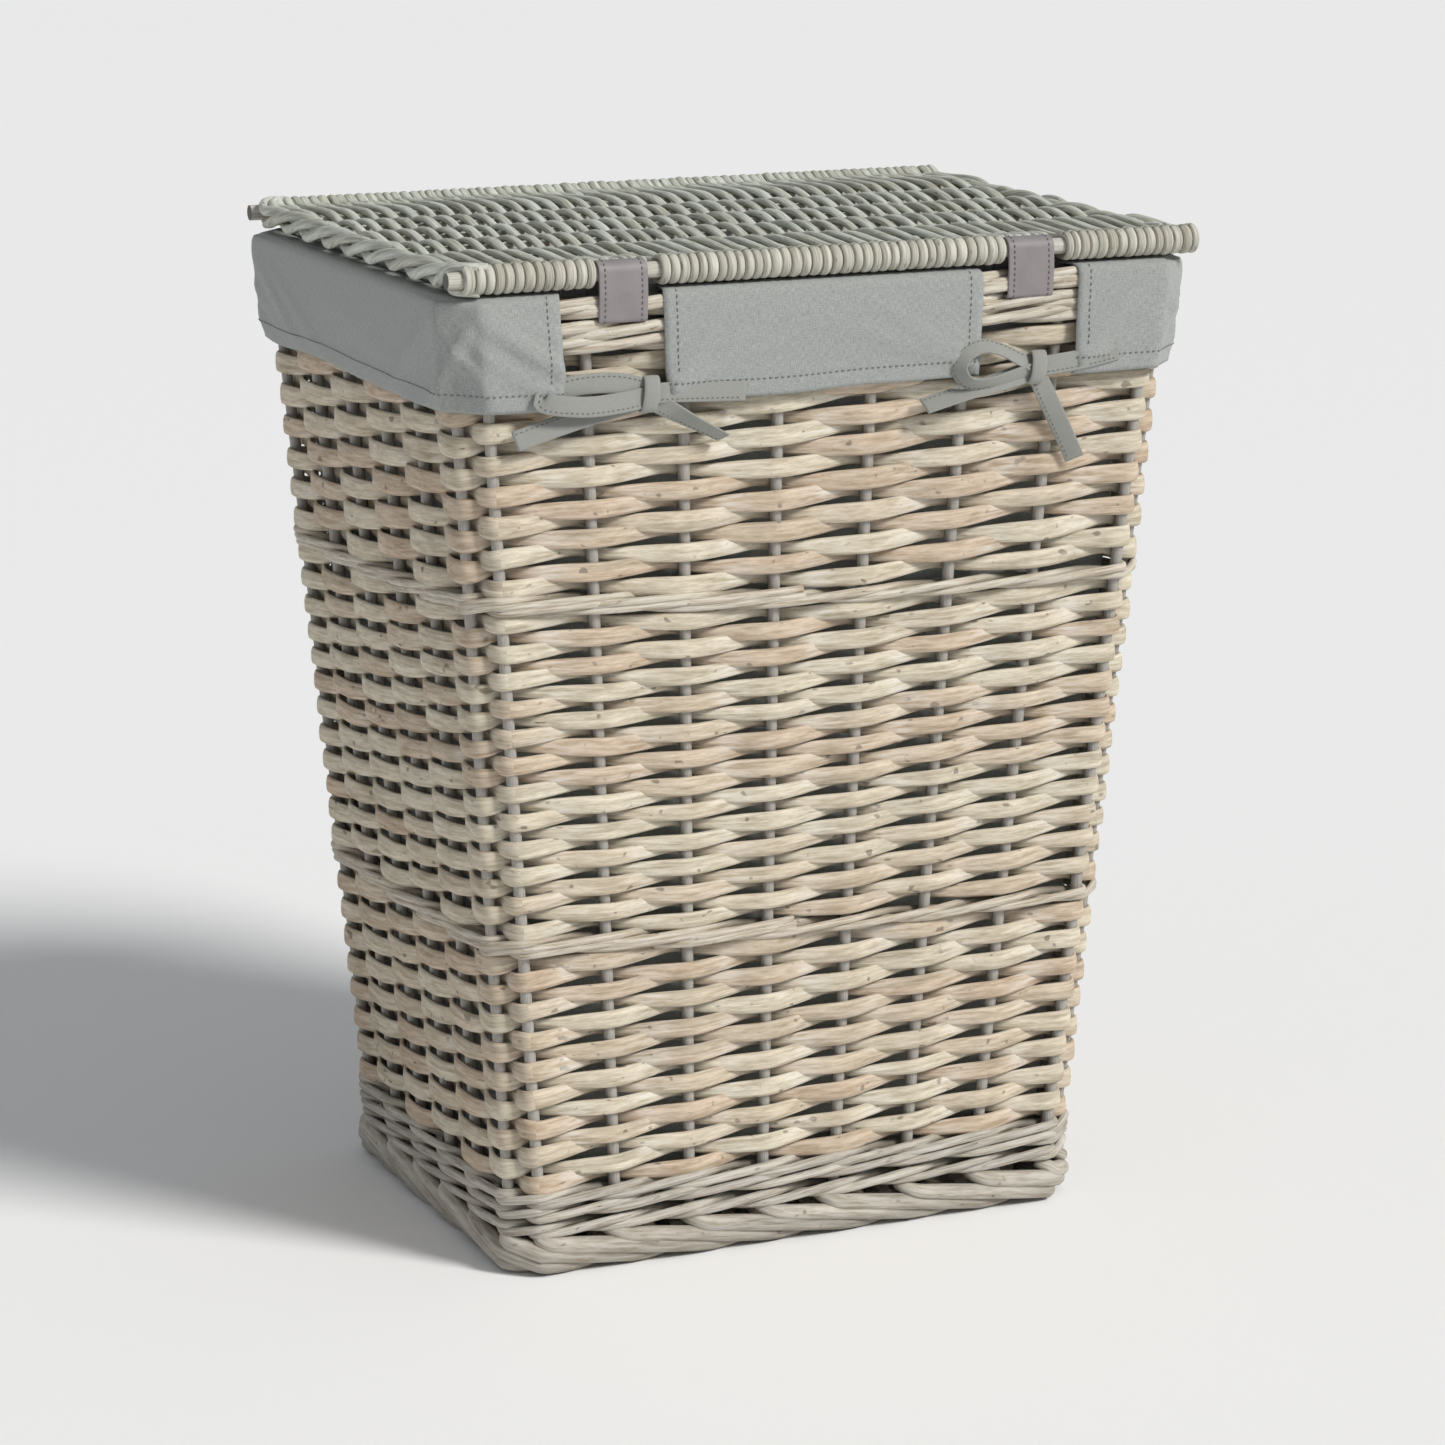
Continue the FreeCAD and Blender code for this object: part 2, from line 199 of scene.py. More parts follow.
def willow(name, pale, warm, dull, chalk, along=None, relief=0.25 * MM, sawn_ends=False):
    """Willow paint. Strands carry their own grain map and marks; a rod of the frame has its grain along an
    axis, and may have weathered sawn ends, the faces that look along x."""
    made, tree, shader = material(name)
    if along is None:
        grain = add(tree, "ShaderNodeUVMap", uv_map="grain").outputs[0]
        marks = {
            word: add(tree, "ShaderNodeAttribute", attribute_name=word.lower()).outputs["Fac"]
            for word in ("Tone", "Wash", "Tuck")
        }
    else:
        place = add(tree, "ShaderNodeTexCoord").outputs["Object"]
        grain = add(tree, "ShaderNodeVectorMath", {0: place, 1: along}, operation="MULTIPLY").outputs[0]
        marks = {"Tone": 0.4, "Wash": 0.45, "Tuck": 0.0}
    skin = add(tree, "ShaderNodeGroup")
    skin.node_tree = willow_skin
    tree.links.new(grain, skin.inputs["Grain"])
    for word, value in {**marks, "Pale": pale, "Warm": warm, "Dull": dull, "Chalk": chalk}.items():
        if isinstance(value, bpy.types.NodeSocket):
            tree.links.new(value, skin.inputs[word])
        else:
            skin.inputs[word].default_value = value if isinstance(value, float) else (*value, 1.0)
    bump = add(tree, "ShaderNodeBump", {"Height": skin.outputs["Height"], "Strength": 0.55, "Distance": relief})
    colour = skin.outputs["Color"]
    if sawn_ends:
        facing = add(tree, "ShaderNodeTexCoord").outputs["Normal"]
        sideways = add(tree, "ShaderNodeSeparateXYZ", {0: facing}).outputs[0]
        flat = add(tree, "ShaderNodeMath", {0: sideways}, operation="ABSOLUTE").outputs[0]
        end = add(tree, "ShaderNodeMath", {0: flat, 1: 0.85}, operation="GREATER_THAN").outputs[0]
        capped = add(tree, "ShaderNodeMix", {0: end}, data_type="RGBA")
        tree.links.new(colour, capped.inputs[6])
        capped.inputs[7].default_value = SAWN
        colour = capped.outputs[2]
    tree.links.new(colour, shader.inputs["Base Color"])
    tree.links.new(skin.outputs["Roughness"], shader.inputs["Roughness"])
    tree.links.new(bump.outputs[0], shader.inputs["Normal"])
    shader.inputs["Specular IOR Level"].default_value = 0.35
    return made


def new_piece(name, points, quads, caps, grain, marks, paint):
    """A mesh object from vertex and face arrays, with its grain map, its marks and its paint."""
    mesh = bpy.data.meshes.new(name)
    corners = np.concatenate([quads.ravel(), caps.ravel()]).astype(np.int32)
    starts = np.concatenate([
        np.arange(len(quads)) * 4,
        len(quads) * 4 + np.arange(len(caps)) * (caps.shape[1] if len(caps) else 0),
    ]).astype(np.int32)
    mesh.vertices.add(len(points))
    mesh.vertices.foreach_set("co", points.astype(np.float32).ravel())
    mesh.loops.add(len(corners))
    mesh.loops.foreach_set("vertex_index", corners)
    mesh.polygons.add(len(starts))
    mesh.polygons.foreach_set("loop_start", starts)
    mesh.polygons.foreach_set("use_smooth", np.arange(len(starts)) < len(quads))
    uv = mesh.uv_layers.new(name="grain")
    uv.data.foreach_set("uv", grain.astype(np.float32).ravel())
    for word, values in marks.items():
        mark = mesh.attributes.new(word, "FLOAT", "POINT")
        mark.data.foreach_set("value", values.astype(np.float32).ravel())
    mesh.update(calc_edges=True)
    mesh.validate()
    mesh.materials.append(paint)
    made = bpy.data.objects.new(name, mesh)
    scene.collection.objects.link(made)
    return made


def unit(vectors):
    """Vectors at length one."""
    return vectors / np.maximum(np.linalg.norm(vectors, axis=-1, keepdims=True), 1e-12)


def strands(name, centre, out, thick, tall, paint, closed=False, squareness=2.3, sides=10, **marks):
    """Many strands as one piece. Round each point of centre (strands, steps, 3) lies the superellipse
    |a / thick|^squareness + |b / tall|^squareness = 1, with a along out and b square to out and to the run."""
    count, steps = centre.shape[:2]
    run = np.roll(centre, -1, 1) - np.roll(centre, 1, 1)
    if not closed:
        run[:, 0] = centre[:, 1] - centre[:, 0]
        run[:, -1] = centre[:, -1] - centre[:, -2]
    run = unit(run)
    out = unit(out - run * (out * run).sum(-1, keepdims=True))
    rise = np.cross(run, out)
    angle = np.arange(sides) / sides * 2 * np.pi
    a = np.sign(np.cos(angle)) * np.abs(np.cos(angle)) ** (2 / squareness)
    b = np.sign(np.sin(angle)) * np.abs(np.sin(angle)) ** (2 / squareness)
    thick = np.broadcast_to(thick, (count, steps))[..., None, None]
    tall = np.broadcast_to(tall, (count, steps))[..., None, None]
    points = centre[:, :, None] + out[:, :, None] * thick * a[:, None] + rise[:, :, None] * tall * b[:, None]
    index = np.arange(count * steps * sides).reshape(count, steps, sides)
    after = np.roll(index, -1, 1) if closed else index[:, 1:]
    before = index if closed else index[:, :-1]
    quads = np.stack([before, np.roll(before, -1, 2), np.roll(after, -1, 2), after], -1).reshape(-1, 4)
    caps = np.zeros((0, sides), int) if closed else np.concatenate([index[:, 0, ::-1], index[:, -1]])
    hops = np.linalg.norm(np.diff(centre, axis=1, append=centre[:, :1]), axis=-1)
    along = np.concatenate([np.zeros((count, 1)), np.cumsum(hops, 1)], 1)
    spans = before.shape[1]
    turn = np.arange(sides + 1) / sides
    u0 = np.broadcast_to(along[:, :spans, None], (count, spans, sides))
    u1 = np.broadcast_to(along[:, 1:spans + 1, None], (count, spans, sides))
    v0 = np.broadcast_to(turn[:-1], (count, spans, sides))
    v1 = np.broadcast_to(turn[1:], (count, spans, sides))
    grain = np.stack([np.stack([u, v], -1) for u, v in ((u0, v0), (u0, v1), (u1, v1), (u1, v0))], 3)
    grain = np.concatenate([grain.reshape(-1, 2), np.zeros((caps.size, 2))])
    full = {"tone": 0.4, "wash": 0.0, "tuck": 0.0, **marks}
    spread_marks = {}
    for word, value in full.items():
        value = np.asarray(value, float)
        if value.ndim == 1:
            value = value[:, None]
        spread_marks[word] = np.broadcast_to(
            np.broadcast_to(value, (count, steps))[..., None], (count, steps, sides)
        )
    return new_piece(name, points.reshape(-1, 3), quads, caps, grain, spread_marks, paint)


WEAVER_COLOURS = ((0.70, 0.63, 0.49), (0.61, 0.475, 0.345), (0.43, 0.37, 0.275), (0.76, 0.74, 0.70))
weaver_paint = willow("split_willow", *WEAVER_COLOURS)

base_low, base_high = (np.array(corner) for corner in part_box("base_weave"))
base_count = int((base_high[0] - base_low[0] - BASE_PITCH) / BASE_PITCH)
base_x = np.linspace(base_low[0], base_high[0], base_count + 2)[1:-1]
base_y = np.linspace(base_low[1] + MM, base_high[1] - MM, 8 * (BASE_STICKS + 1) + 1)
base_phase = (base_y - base_low[1]) / (base_high[1] - base_low[1]) * (BASE_STICKS + 1)
base_side = np.where(np.arange(base_count) % 2, 1.0, -1.0)[:, None]
base_middle = (base_low[2] + base_high[2]) / 2
base_lift = np.cos(np.pi * base_phase) * (BASE_STICK_RADIUS + 1.0 * MM) * base_side
base_centre = np.stack([
    base_x[:, None] + 0 * base_lift, base_y + 0 * base_lift, base_middle + base_lift,
], -1)
base_weave = strands(
    "base_weavers", base_centre, np.array([0.0, 0.0, 1.0]), 1.3 * MM, BASE_PITCH * 0.5, weaver_paint,
    tone=rng.random(base_count), wash=0.3,
)
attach(base_weave, "basket")
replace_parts(base_weave, "base_weave")

stick_paint = willow(
    "base_stick", (0.50, 0.48, 0.43), (0.46, 0.42, 0.36), (0.36, 0.33, 0.28), (0.72, 0.72, 0.70),
    along=(1.0, 160.0, 160.0),
)
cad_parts["base_sticks"].data.materials.clear()
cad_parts["base_sticks"].data.materials.append(stick_paint)

# ---------------------------------------------------------------------------
# Uprights: round willow rods that stand in the middle of the wall, eight to a
# long side and six to a short one, with a grey wash. They are the frame's own.
# ---------------------------------------------------------------------------
UPRIGHT_COLOURS = ((0.42, 0.395, 0.35), (0.37, 0.34, 0.30), (0.26, 0.24, 0.21), (0.56, 0.55, 0.54))
upright_paint = willow("upright", *UPRIGHT_COLOURS, along=(160.0, 160.0, 1.0))
for side_name in ("front", "back", "left", "right"):
    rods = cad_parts[side_name + "_stakes"].data
    rods.materials.clear()
    rods.materials.append(upright_paint)
    rods.polygons.foreach_set("use_smooth", np.ones(len(rods.polygons), bool))

LONG_BAYS = 7
SHORT_BAYS = 5
UPRIGHTS = 2 * (LONG_BAYS + SHORT_BAYS + 2)
UPRIGHT_RADIUS = 3.25 * MM
WALL = 13.0 * MM
CORNER_CUT = 17.0 * MM
lower_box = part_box("lower_weave")[1]
upper_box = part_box("upper_weave")[1]


def half_length(level):
    """Half the wall's outside length at a height, on the straight line through two bands of the frame."""
    return lower_box.x + (upper_box.x - lower_box.x) * (level - lower_box.z) / (upper_box.z - lower_box.z)


def half_width(level):
    """Half the wall's outside width at a height, on the straight line through two bands of the frame."""
    return lower_box.y + (upper_box.y - lower_box.y) * (level - lower_box.z) / (upper_box.z - lower_box.z)


# Each corner of the cut-cornered outline, in uprights from the front left one, and how the half length,
# the half width and the corner's cut make its x and y.
CORNER_AT = np.cumsum([0, LONG_BAYS, 1, SHORT_BAYS, 1, LONG_BAYS, 1, SHORT_BAYS, 1])
X_OF_LENGTH = [-1, 1, 1, 1, 1, -1, -1, -1, -1]
X_OF_CUT = [1, -1, 0, 0, -1, 1, 0, 0, 1]
Y_OF_WIDTH = [-1, -1, -1, 1, 1, 1, 1, -1, -1]
Y_OF_CUT = [0, 0, 1, -1, 0, 0, -1, 1, 0]
FACING_AT = np.sort(np.concatenate([CORNER_AT, CORNER_AT[:-1:2] + 1, CORNER_AT[1::2] - 1]))
FACING = np.radians([
    -112.5, -90, -90, -67.5, -22.5, 0, 0, 22.5, 67.5, 90, 90, 112.5, 157.5, 180, 180, 202.5, 247.5,
])


def wall_line(place, level, inset=WALL / 2):
    """Points and outward directions of the wall, at a place counted in uprights and a height, inset from
    its outside. Between corners the line is straight; the direction turns from one upright to the next."""
    place, level = np.broadcast_arrays(np.mod(place, UPRIGHTS), level)
    cut = CORNER_CUT - inset * (2 - math.sqrt(2))
    x = np.interp(place, CORNER_AT, X_OF_LENGTH) * (half_length(level) - inset)
    y = np.interp(place, CORNER_AT, Y_OF_WIDTH) * (half_width(level) - inset)
    x = x + np.interp(place, CORNER_AT, X_OF_CUT) * cut
    y = y + np.interp(place, CORNER_AT, Y_OF_CUT) * cut
    facing = np.interp(place, FACING_AT, FACING)
    out = np.stack([np.cos(facing), np.sin(facing), 0 * facing], -1)
    return np.stack([x, y, level + 0 * x], -1), out


RISE_LEVELS = np.array([50, 191, 384, 526]) * MM
RISE_AT_CORNER = np.array([0, 6.5, 10.5, 0]) * MM
RISE_WIDTH = 2.4


def hand_rise(place, level):
    """How far a hand-beaten row lies above true: a soft hump round the front left corner."""
    off = (np.mod(place, UPRIGHTS) + 0.5 + UPRIGHTS / 2) % UPRIGHTS - UPRIGHTS / 2
    hump = np.exp(-((off / RISE_WIDTH) ** 2)) - 0.18
    return hump * np.interp(level, RISE_LEVELS, RISE_AT_CORNER)


# ---------------------------------------------------------------------------
# Wales: three round rods worked together, each in front of two uprights and
# behind the third, rising over the other two. They bind the foot, the rim and
# the two belts between the weaves.
# ---------------------------------------------------------------------------
WALE_STEPS = 7
ROD_COLOURS = ((0.63, 0.57, 0.455), (0.56, 0.475, 0.36), (0.37, 0.325, 0.255), (0.72, 0.70, 0.66))
rod_paint = willow("round_willow", *ROD_COLOURS, relief=0.3 * MM)
ROUGH_ROD_COLOURS = ((0.57, 0.525, 0.44), (0.44, 0.395, 0.32), (0.21, 0.195, 0.17), (0.64, 0.63, 0.61))
foot_paint = willow("foot_willow", *ROUGH_ROD_COLOURS, relief=0.4 * MM)


def slow_noise(shape, knots, generator):
    """Smooth random values about zero: a random value at each of a few knots, joined by cosine steps."""
    values = generator.standard_normal((shape[0], knots + 1))
    at = np.linspace(0, knots, shape[1], endpoint=False)
    low = np.floor(at).astype(int)
    share = (1 - np.cos(np.pi * (at - low))) / 2
    return values[:, low] * (1 - share) + values[:, low + 1] * share


def wale(name, node, diameter, rounds, paint, seed):
    """Three rods round the wall in one band. Depth is -1 behind every third upright and 1 in front of the
    rest; height climbs by the band over its rounds, and by a rod's thickness along each outside stroke."""
    draw = np.random.default_rng(seed)
    low, high = (corner.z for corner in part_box(node))
    start = CORNER_AT[5] + 0.5
    steps = int(UPRIGHTS * rounds * WALE_STEPS)
    place = start + np.linspace(0, UPRIGHTS * rounds, steps)[None] + np.zeros((3, 1))
    phase = 2 * np.pi * (place - np.arange(3)[:, None]) / 3
    depth = np.tanh(1.2 * (1 / 3 - 4 / 3 * np.cos(phase))) / math.tanh(1.2)
    radius = diameter / 2 * (1 + 0.07 * slow_noise(place.shape, int(9 * rounds) + 2, draw))
    climb = high - low - 1.75 * diameter
    turns = np.linspace(0, rounds, steps)
    climbed = np.minimum(turns / (rounds - 1), 1) if rounds > 2 else turns / rounds
    level = low + 0.85 * diameter + climb * climbed - diameter / 2 * np.sin(phase) * 0.95
    level = level + 0.35 * MM * slow_noise(place.shape, int(14 * rounds) + 2, draw)
    centre, out = wall_line(place, level)
    centre[..., 2] += hand_rise(place, level)
    centre += out * (depth * (UPRIGHT_RADIUS + diameter * 0.42))[..., None]
    # Painted shade: each rod is painted darker where it passes behind an upright.
    made = strands(
        name, centre, out, radius * 0.94, radius * 1.04, paint, squareness=2.1, sides=8,
        tone=draw.random(3), wash=0.25 + 0.2 * depth, tuck=np.clip(0.1 - depth, 0, 1) * 0.85,
    )
    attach(made, "basket")
    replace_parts(made, node)
    return made


wale("foot_wale_rods", "foot_wale", 5.2 * MM, 3.0, foot_paint, 3)
wale("lower_wale_rods", "lower_wale", 4.6 * MM, 1.35, rod_paint, 4)
wale("upper_wale_rods", "upper_wale", 4.6 * MM, 1.35, rod_paint, 5)
wale("rim_wale_rods", "rim_wale", 5.6 * MM, 2.4, rod_paint, 6)
wale("rim_border_rods", "rim_border", 5.3 * MM, 1.9, rod_paint, 7)

# ---------------------------------------------------------------------------
# Foot border: a thick rod from every upright, bent out over the foot and laid
# down along it past two more uprights, under the next ones, to stand on.
# ---------------------------------------------------------------------------
BORDER_KEYS = np.array([
    # uprights along, out from the wall's middle, height, half thickness
    [-0.12, -1.0, 23.5, 3.2],
    [0.00, 4.0, 21.0, 4.2],
    [0.16, 6.6, 18.6, 4.8],
    [0.60, 6.9, 15.9, 4.9],
    [1.20, 6.9, 12.0, 4.7],
    [1.75, 6.4, 8.0, 4.4],
    [2.25, 4.5, 5.0, 3.9],
    [2.75, -2.0, 4.2, 3.3],
])
BORDER_STEPS = 30


def smooth_keys(keys, steps):
    """A curve through the keys' rows, a Catmull-Rom spline with its ends repeated."""
    padded = np.concatenate([keys[:1], keys, keys[-1:]])
    at = np.linspace(0, len(keys) - 1, steps)
    i = np.minimum(at.astype(int), len(keys) - 2)
    t = (at - i)[:, None]
    p0, p1, p2, p3 = padded[i], padded[i + 1], padded[i + 2], padded[i + 3]
    return 0.5 * (
        2 * p1 + (p2 - p0) * t + (2 * p0 - 5 * p1 + 4 * p2 - p3) * t ** 2
        + (3 * p1 - p0 - 3 * p2 + p3) * t ** 3
    )


border = smooth_keys(BORDER_KEYS, BORDER_STEPS)
border_place = np.arange(UPRIGHTS)[:, None] + border[:, 0] + 0.05 * rng.standard_normal((UPRIGHTS, 1))
border_level = (border[:, 2] + 0.35 * rng.standard_normal((UPRIGHTS, 1)) * (border[:, 2] > 6)) * MM
border_centre, border_out = wall_line(border_place, border_level)
border_centre += border_out * (border[:, 1] + 0.4 * rng.standard_normal((UPRIGHTS, 1)))[..., None] * MM
border_size = border[:, 3] * MM * (1 + 0.06 * rng.standard_normal((UPRIGHTS, 1)))
# Painted shade: the border rods are painted darker low down by the floor and where they run in close to the wall.
border_low = np.clip(1.4 - border[:, 2] / 12, 0, 1)
foot_border = strands(
    "foot_border_rods", border_centre, border_out, border_size, border_size, foot_paint, squareness=2.0,
    sides=12, tone=rng.random(UPRIGHTS), wash=0.35,
    tuck=np.maximum(border_low * 0.55, np.clip((2.0 - border[:, 1]) / 3, 0, 1))[None],
)
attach(foot_border, "basket")
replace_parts(foot_border, "foot_border")

# ---------------------------------------------------------------------------
# Weaves: flattened willow weavers, in front of one upright and behind the
# next, each row the other way from the row below. A spent weaver's end lies
# behind an upright, where the next one of another colour starts.
# ---------------------------------------------------------------------------
WEAVE_STEPS = 9
WEAVER_HALF_THICKNESS = 1.6 * MM
BEATEN_DOWN = 0.4 * MM
WEAVER_SLANT = 2.3 * MM
TWISTED_AWAY = 0.36
WEAVES = {
    "upper_weave": ("upper_weavers", 9.3 * MM, 1.24),
    "middle_weave": ("middle_weavers", 7.85 * MM, 1.27),
    "lower_weave": ("lower_weavers", 8.2 * MM, 1.27),
}


def weave(node, name, pitch, fullness, seed):
    """Rows of weavers. Depth swings in and out as a rounded triangle wave from upright to upright. A weaver
    lies lower where it is in front, because it is beaten down there, and climbs
    from behind one upright to behind the next but one, where it drops back, twisted edge on.
    On the short sides the strokes are flatter and fuller."""
    draw = np.random.default_rng(seed)
    low, high = (corner.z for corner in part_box(node))
    rows = round((high - low) / pitch)
    pitch = (high - low) / rows
    steps = UPRIGHTS * WEAVE_STEPS
    place = np.arange(steps)[None] / WEAVE_STEPS + np.zeros((rows, 1))
    parity = (np.arange(rows) % 2)[:, None]
    phase = np.pi * (place + parity)
    depth = (np.cos(phase) + 0.11 * np.cos(3 * phase)) / 1.11
    centres = low + pitch * (np.arange(rows)[:, None] + 0.5)
    level = centres + 0.6 * MM * slow_noise(place.shape, 14, draw)
    tone = np.zeros(place.shape)
    taper = np.zeros(place.shape)
    for row in range(rows):
        joint = 2 * draw.integers(0, UPRIGHTS // 2) + 1 - row % 2
        ends = joint + np.array([0, 2 * draw.integers(4, 7), UPRIGHTS])
        colours = np.clip(draw.beta(1.3, 1.6, 2), 0, 1)
        for begin, end, colour in zip(ends[:-1], ends[1:], colours):
            share = np.mod(place[row] - begin, UPRIGHTS) / (end - begin)
            tone[row][share < 1] = colour
            taper[row][share < 1] = 0.5 - share[share < 1]
    centre, out = wall_line(place, level)
    short_side = np.clip(1.6 * np.abs(out[..., 0]) - 0.3, 0, 1)
    padded = (np.cos(phase) - 0.13 * np.cos(3 * phase)) / 0.87
    depth = depth * (1 - short_side) + padded * short_side
    saw = np.mod(phase / np.pi + 1, 2) - 1
    climb = WEAVER_SLANT * (1 - 0.65 * short_side) * saw * (1 - np.abs(saw) ** 10)
    centre[..., 2] += hand_rise(place, level) - BEATEN_DOWN * depth + climb
    swing = UPRIGHT_RADIUS + WEAVER_HALF_THICKNESS
    centre += out * (swing * depth + 0.25 * MM * slow_noise(place.shape, 28, draw))[..., None]
    centre = (np.roll(centre, 1, 1) + 2 * centre + np.roll(centre, -1, 1)) / 4
    tall = pitch / 2 * fullness * (1 + 0.10 * taper + 0.05 * slow_noise(place.shape, 19, draw))
    tall = tall * (1 - TWISTED_AWAY * ((1 - np.cos(phase)) / 2) ** 1.4) * (1 + 0.1 * short_side)
    crossing = np.exp(-((depth / 0.45) ** 2)) * np.clip(0.55 + 0.5 * slow_noise(place.shape, 56, draw), 0, 1)
    # Painted shade: a weaver is painted darker where it passes deep behind an upright.
    made = strands(
        name, centre, out, WEAVER_HALF_THICKNESS * (1 + 0.12 * taper), tall, weaver_paint, closed=True,
        squareness=2.5, sides=12, tone=tone, wash=0.14 + 0.42 * crossing,
        tuck=np.clip(-depth - 0.55, 0, 1) * 0.9,
    )
    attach(made, "basket")
    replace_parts(made, node)
    return made


for index, (node, (name, pitch, fullness)) in enumerate(WEAVES.items()):
    weave(node, name, pitch, fullness, 40 + index)

# ---------------------------------------------------------------------------
# Liner: a linen bag that hangs inside the basket, sewn from four walls and a
# bottom. Its top is folded out over the rim as a cuff, hemmed all round and
# open round each strap.
# ---------------------------------------------------------------------------
LINEN_COLOURS = ((0.25, 0.265, 0.25), (0.385, 0.40, 0.385))
LINEN_THICKNESS = 1.0 * MM


def linen_group():
    """Heathered plain weave: slubs along the warp and along the weft, and a fine thread relief.
    Cloth is a place on it in metres."""
    tree = bpy.data.node_groups.new("heathered_linen", "ShaderNodeTree")
    face = tree.interface
    face.new_socket("Cloth", in_out="INPUT", socket_type="NodeSocketVector")
    for word in ("Dark thread", "Light thread"):
        face.new_socket(word, in_out="INPUT", socket_type="NodeSocketColor")
    face.new_socket("Color", in_out="OUTPUT", socket_type="NodeSocketColor")
    face.new_socket("Height", in_out="OUTPUT", socket_type="NodeSocketFloat")
    given = add(tree, "NodeGroupInput").outputs
    threads = []
    for scale in ((2300.0, 300.0, 1.0), (300.0, 2300.0, 1.0)):
        stretched = add(tree, "ShaderNodeVectorMath", {0: given["Cloth"], 1: scale}, operation="MULTIPLY")
        threads.append(add(tree, "ShaderNodeTexNoise", {
            "Vector": stretched.outputs[0], "Scale": 1.0, "Detail": 1.5,
        }).outputs[0])
    both = add(tree, "ShaderNodeMath", {0: threads[0], 1: threads[1]}, operation="ADD").outputs[0]
    share = add(tree, "ShaderNodeMapRange", {"Value": both, "From Min": 0.72, "From Max": 1.28}).outputs[0]
    mixed = add(tree, "ShaderNodeMix", {0: share}, data_type="RGBA")
    tree.links.new(given["Dark thread"], mixed.inputs[6])
    tree.links.new(given["Light thread"], mixed.inputs[7])
    result = add(tree, "NodeGroupOutput")
    tree.links.new(mixed.outputs[2], result.inputs["Color"])
    tree.links.new(both, result.inputs["Height"])
    return tree


heathered_linen = linen_group()


def linen(name, dark, light):
    """Linen paint on a cloth's own map."""
    made, tree, shader = material(name)
    cloth = add(tree, "ShaderNodeGroup")
    cloth.node_tree = heathered_linen
    tree.links.new(add(tree, "ShaderNodeUVMap", uv_map="grain").outputs[0], cloth.inputs["Cloth"])
    cloth.inputs["Dark thread"].default_value = (*dark, 1.0)
    cloth.inputs["Light thread"].default_value = (*light, 1.0)
    bump = add(tree, "ShaderNodeBump", {
        "Height": cloth.outputs["Height"], "Strength": 0.5, "Distance": 0.3 * MM,
    })
    tree.links.new(cloth.outputs["Color"], shader.inputs["Base Color"])
    tree.links.new(bump.outputs[0], shader.inputs["Normal"])
    shader.inputs["Roughness"].default_value = 0.9
    shader.inputs["Sheen Weight"].default_value = 0.25
    shader.inputs["Sheen Roughness"].default_value = 0.6
    shader.inputs["Specular IOR Level"].default_value = 0.15
    return made


linen_paint = linen("linen", *LINEN_COLOURS)


def cloth_piece(name, points, across, down, closed, thickness):
    """A grid of points (down, across, 3) as a sheet, its map in metres, given its thickness inwards."""
    rows, columns = points.shape[:2]
    index = np.arange(rows * columns).reshape(rows, columns)
    nxt = np.roll(index, -1, 1) if closed else index[:, 1:]
    own = index if closed else index[:, :-1]
    quads = np.stack([own[:-1], own[1:], nxt[1:], nxt[:-1]], -1).reshape(-1, 4)
    spans = own.shape[1]
    u = np.concatenate([across, [2 * across[-1] - across[-2]]]) if closed else across
    u0 = np.broadcast_to(u[:spans], (rows - 1, spans))
    u1 = np.broadcast_to(u[1:spans + 1], (rows - 1, spans))
    v0 = np.broadcast_to(down[:-1, None], (rows - 1, spans))
    v1 = np.broadcast_to(down[1:, None], (rows - 1, spans))
    grain = np.stack([np.stack([a, b], -1) for a, b in ((u0, v0), (u0, v1), (u1, v1), (u1, v0))], 2)
    made = new_piece(name, points.reshape(-1, 3), quads, np.zeros((0, 4), int), grain.reshape(-1, 2), {}, linen_paint)
    solid = made.modifiers.new("thickness", "SOLIDIFY")
    solid.thickness = thickness
    solid.offset = -1.0
    return made


BAG_ROOM = 17.3 * MM
bag_low, bag_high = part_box("liner_bag")
bag_place = np.arange(UPRIGHTS * 12) / 12
bag_wall = np.linspace(bag_high.z + 0.5 * MM, bag_low.z + 6 * MM, 60)
bag_bottom = np.linspace(0.97, 0.0, 12)
bag_rows = []
bag_fold = np.random.default_rng(8)
bag_waves = slow_noise((len(bag_wall), len(bag_place)), 24, bag_fold)
for _ in range(6):
    bag_waves = (np.roll(bag_waves, 1, 0) + bag_waves + np.roll(bag_waves, -1, 0)) / 3
    bag_waves = (np.roll(bag_waves, 1, 1) + bag_waves + np.roll(bag_waves, -1, 1)) / 3
for row, level in enumerate(bag_wall):
    calm = np.clip((bag_high.z - level) / (30 * MM), 0.05, 1)
    line, out = wall_line(bag_place, level, BAG_ROOM)
    bag_rows.append(line - out * (np.abs(bag_waves[row])[:, None] * 2.2 * MM * calm))
for share in bag_bottom:
    line, _ = wall_line(bag_place, bag_low.z + (1.2 if share < 0.95 else 2.6) * MM, BAG_ROOM)
    bag_rows.append(line * np.array([share, share, 1.0]))
bag_points = np.array(bag_rows)
for _ in range(4):
    bag_points = (np.roll(bag_points, 1, 1) + bag_points + np.roll(bag_points, -1, 1)) / 3
bag_run = np.linalg.norm(np.diff(bag_points[0], axis=0, append=bag_points[0][:1]), axis=-1)
bag_across = np.concatenate([[0], np.cumsum(bag_run)[:-1]])
bag_down = np.concatenate([[0], np.cumsum(np.linalg.norm(np.diff(bag_points[:, 0], axis=0), axis=-1))])
liner_bag = cloth_piece("liner_bag_linen", bag_points[:, ::-1], bag_across, bag_down, True, -LINEN_THICKNESS)
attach(liner_bag, "basket")
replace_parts(liner_bag, "liner_bag")

front_bay = 2 * (half_length(0.53) - WALL / 2 - CORNER_CUT + WALL / 2 * (2 - math.sqrt(2))) / LONG_BAYS


def front_place(x):
    """The place in uprights of an x on the hinge side, near the rim."""
    return x / front_bay + LONG_BAYS / 2


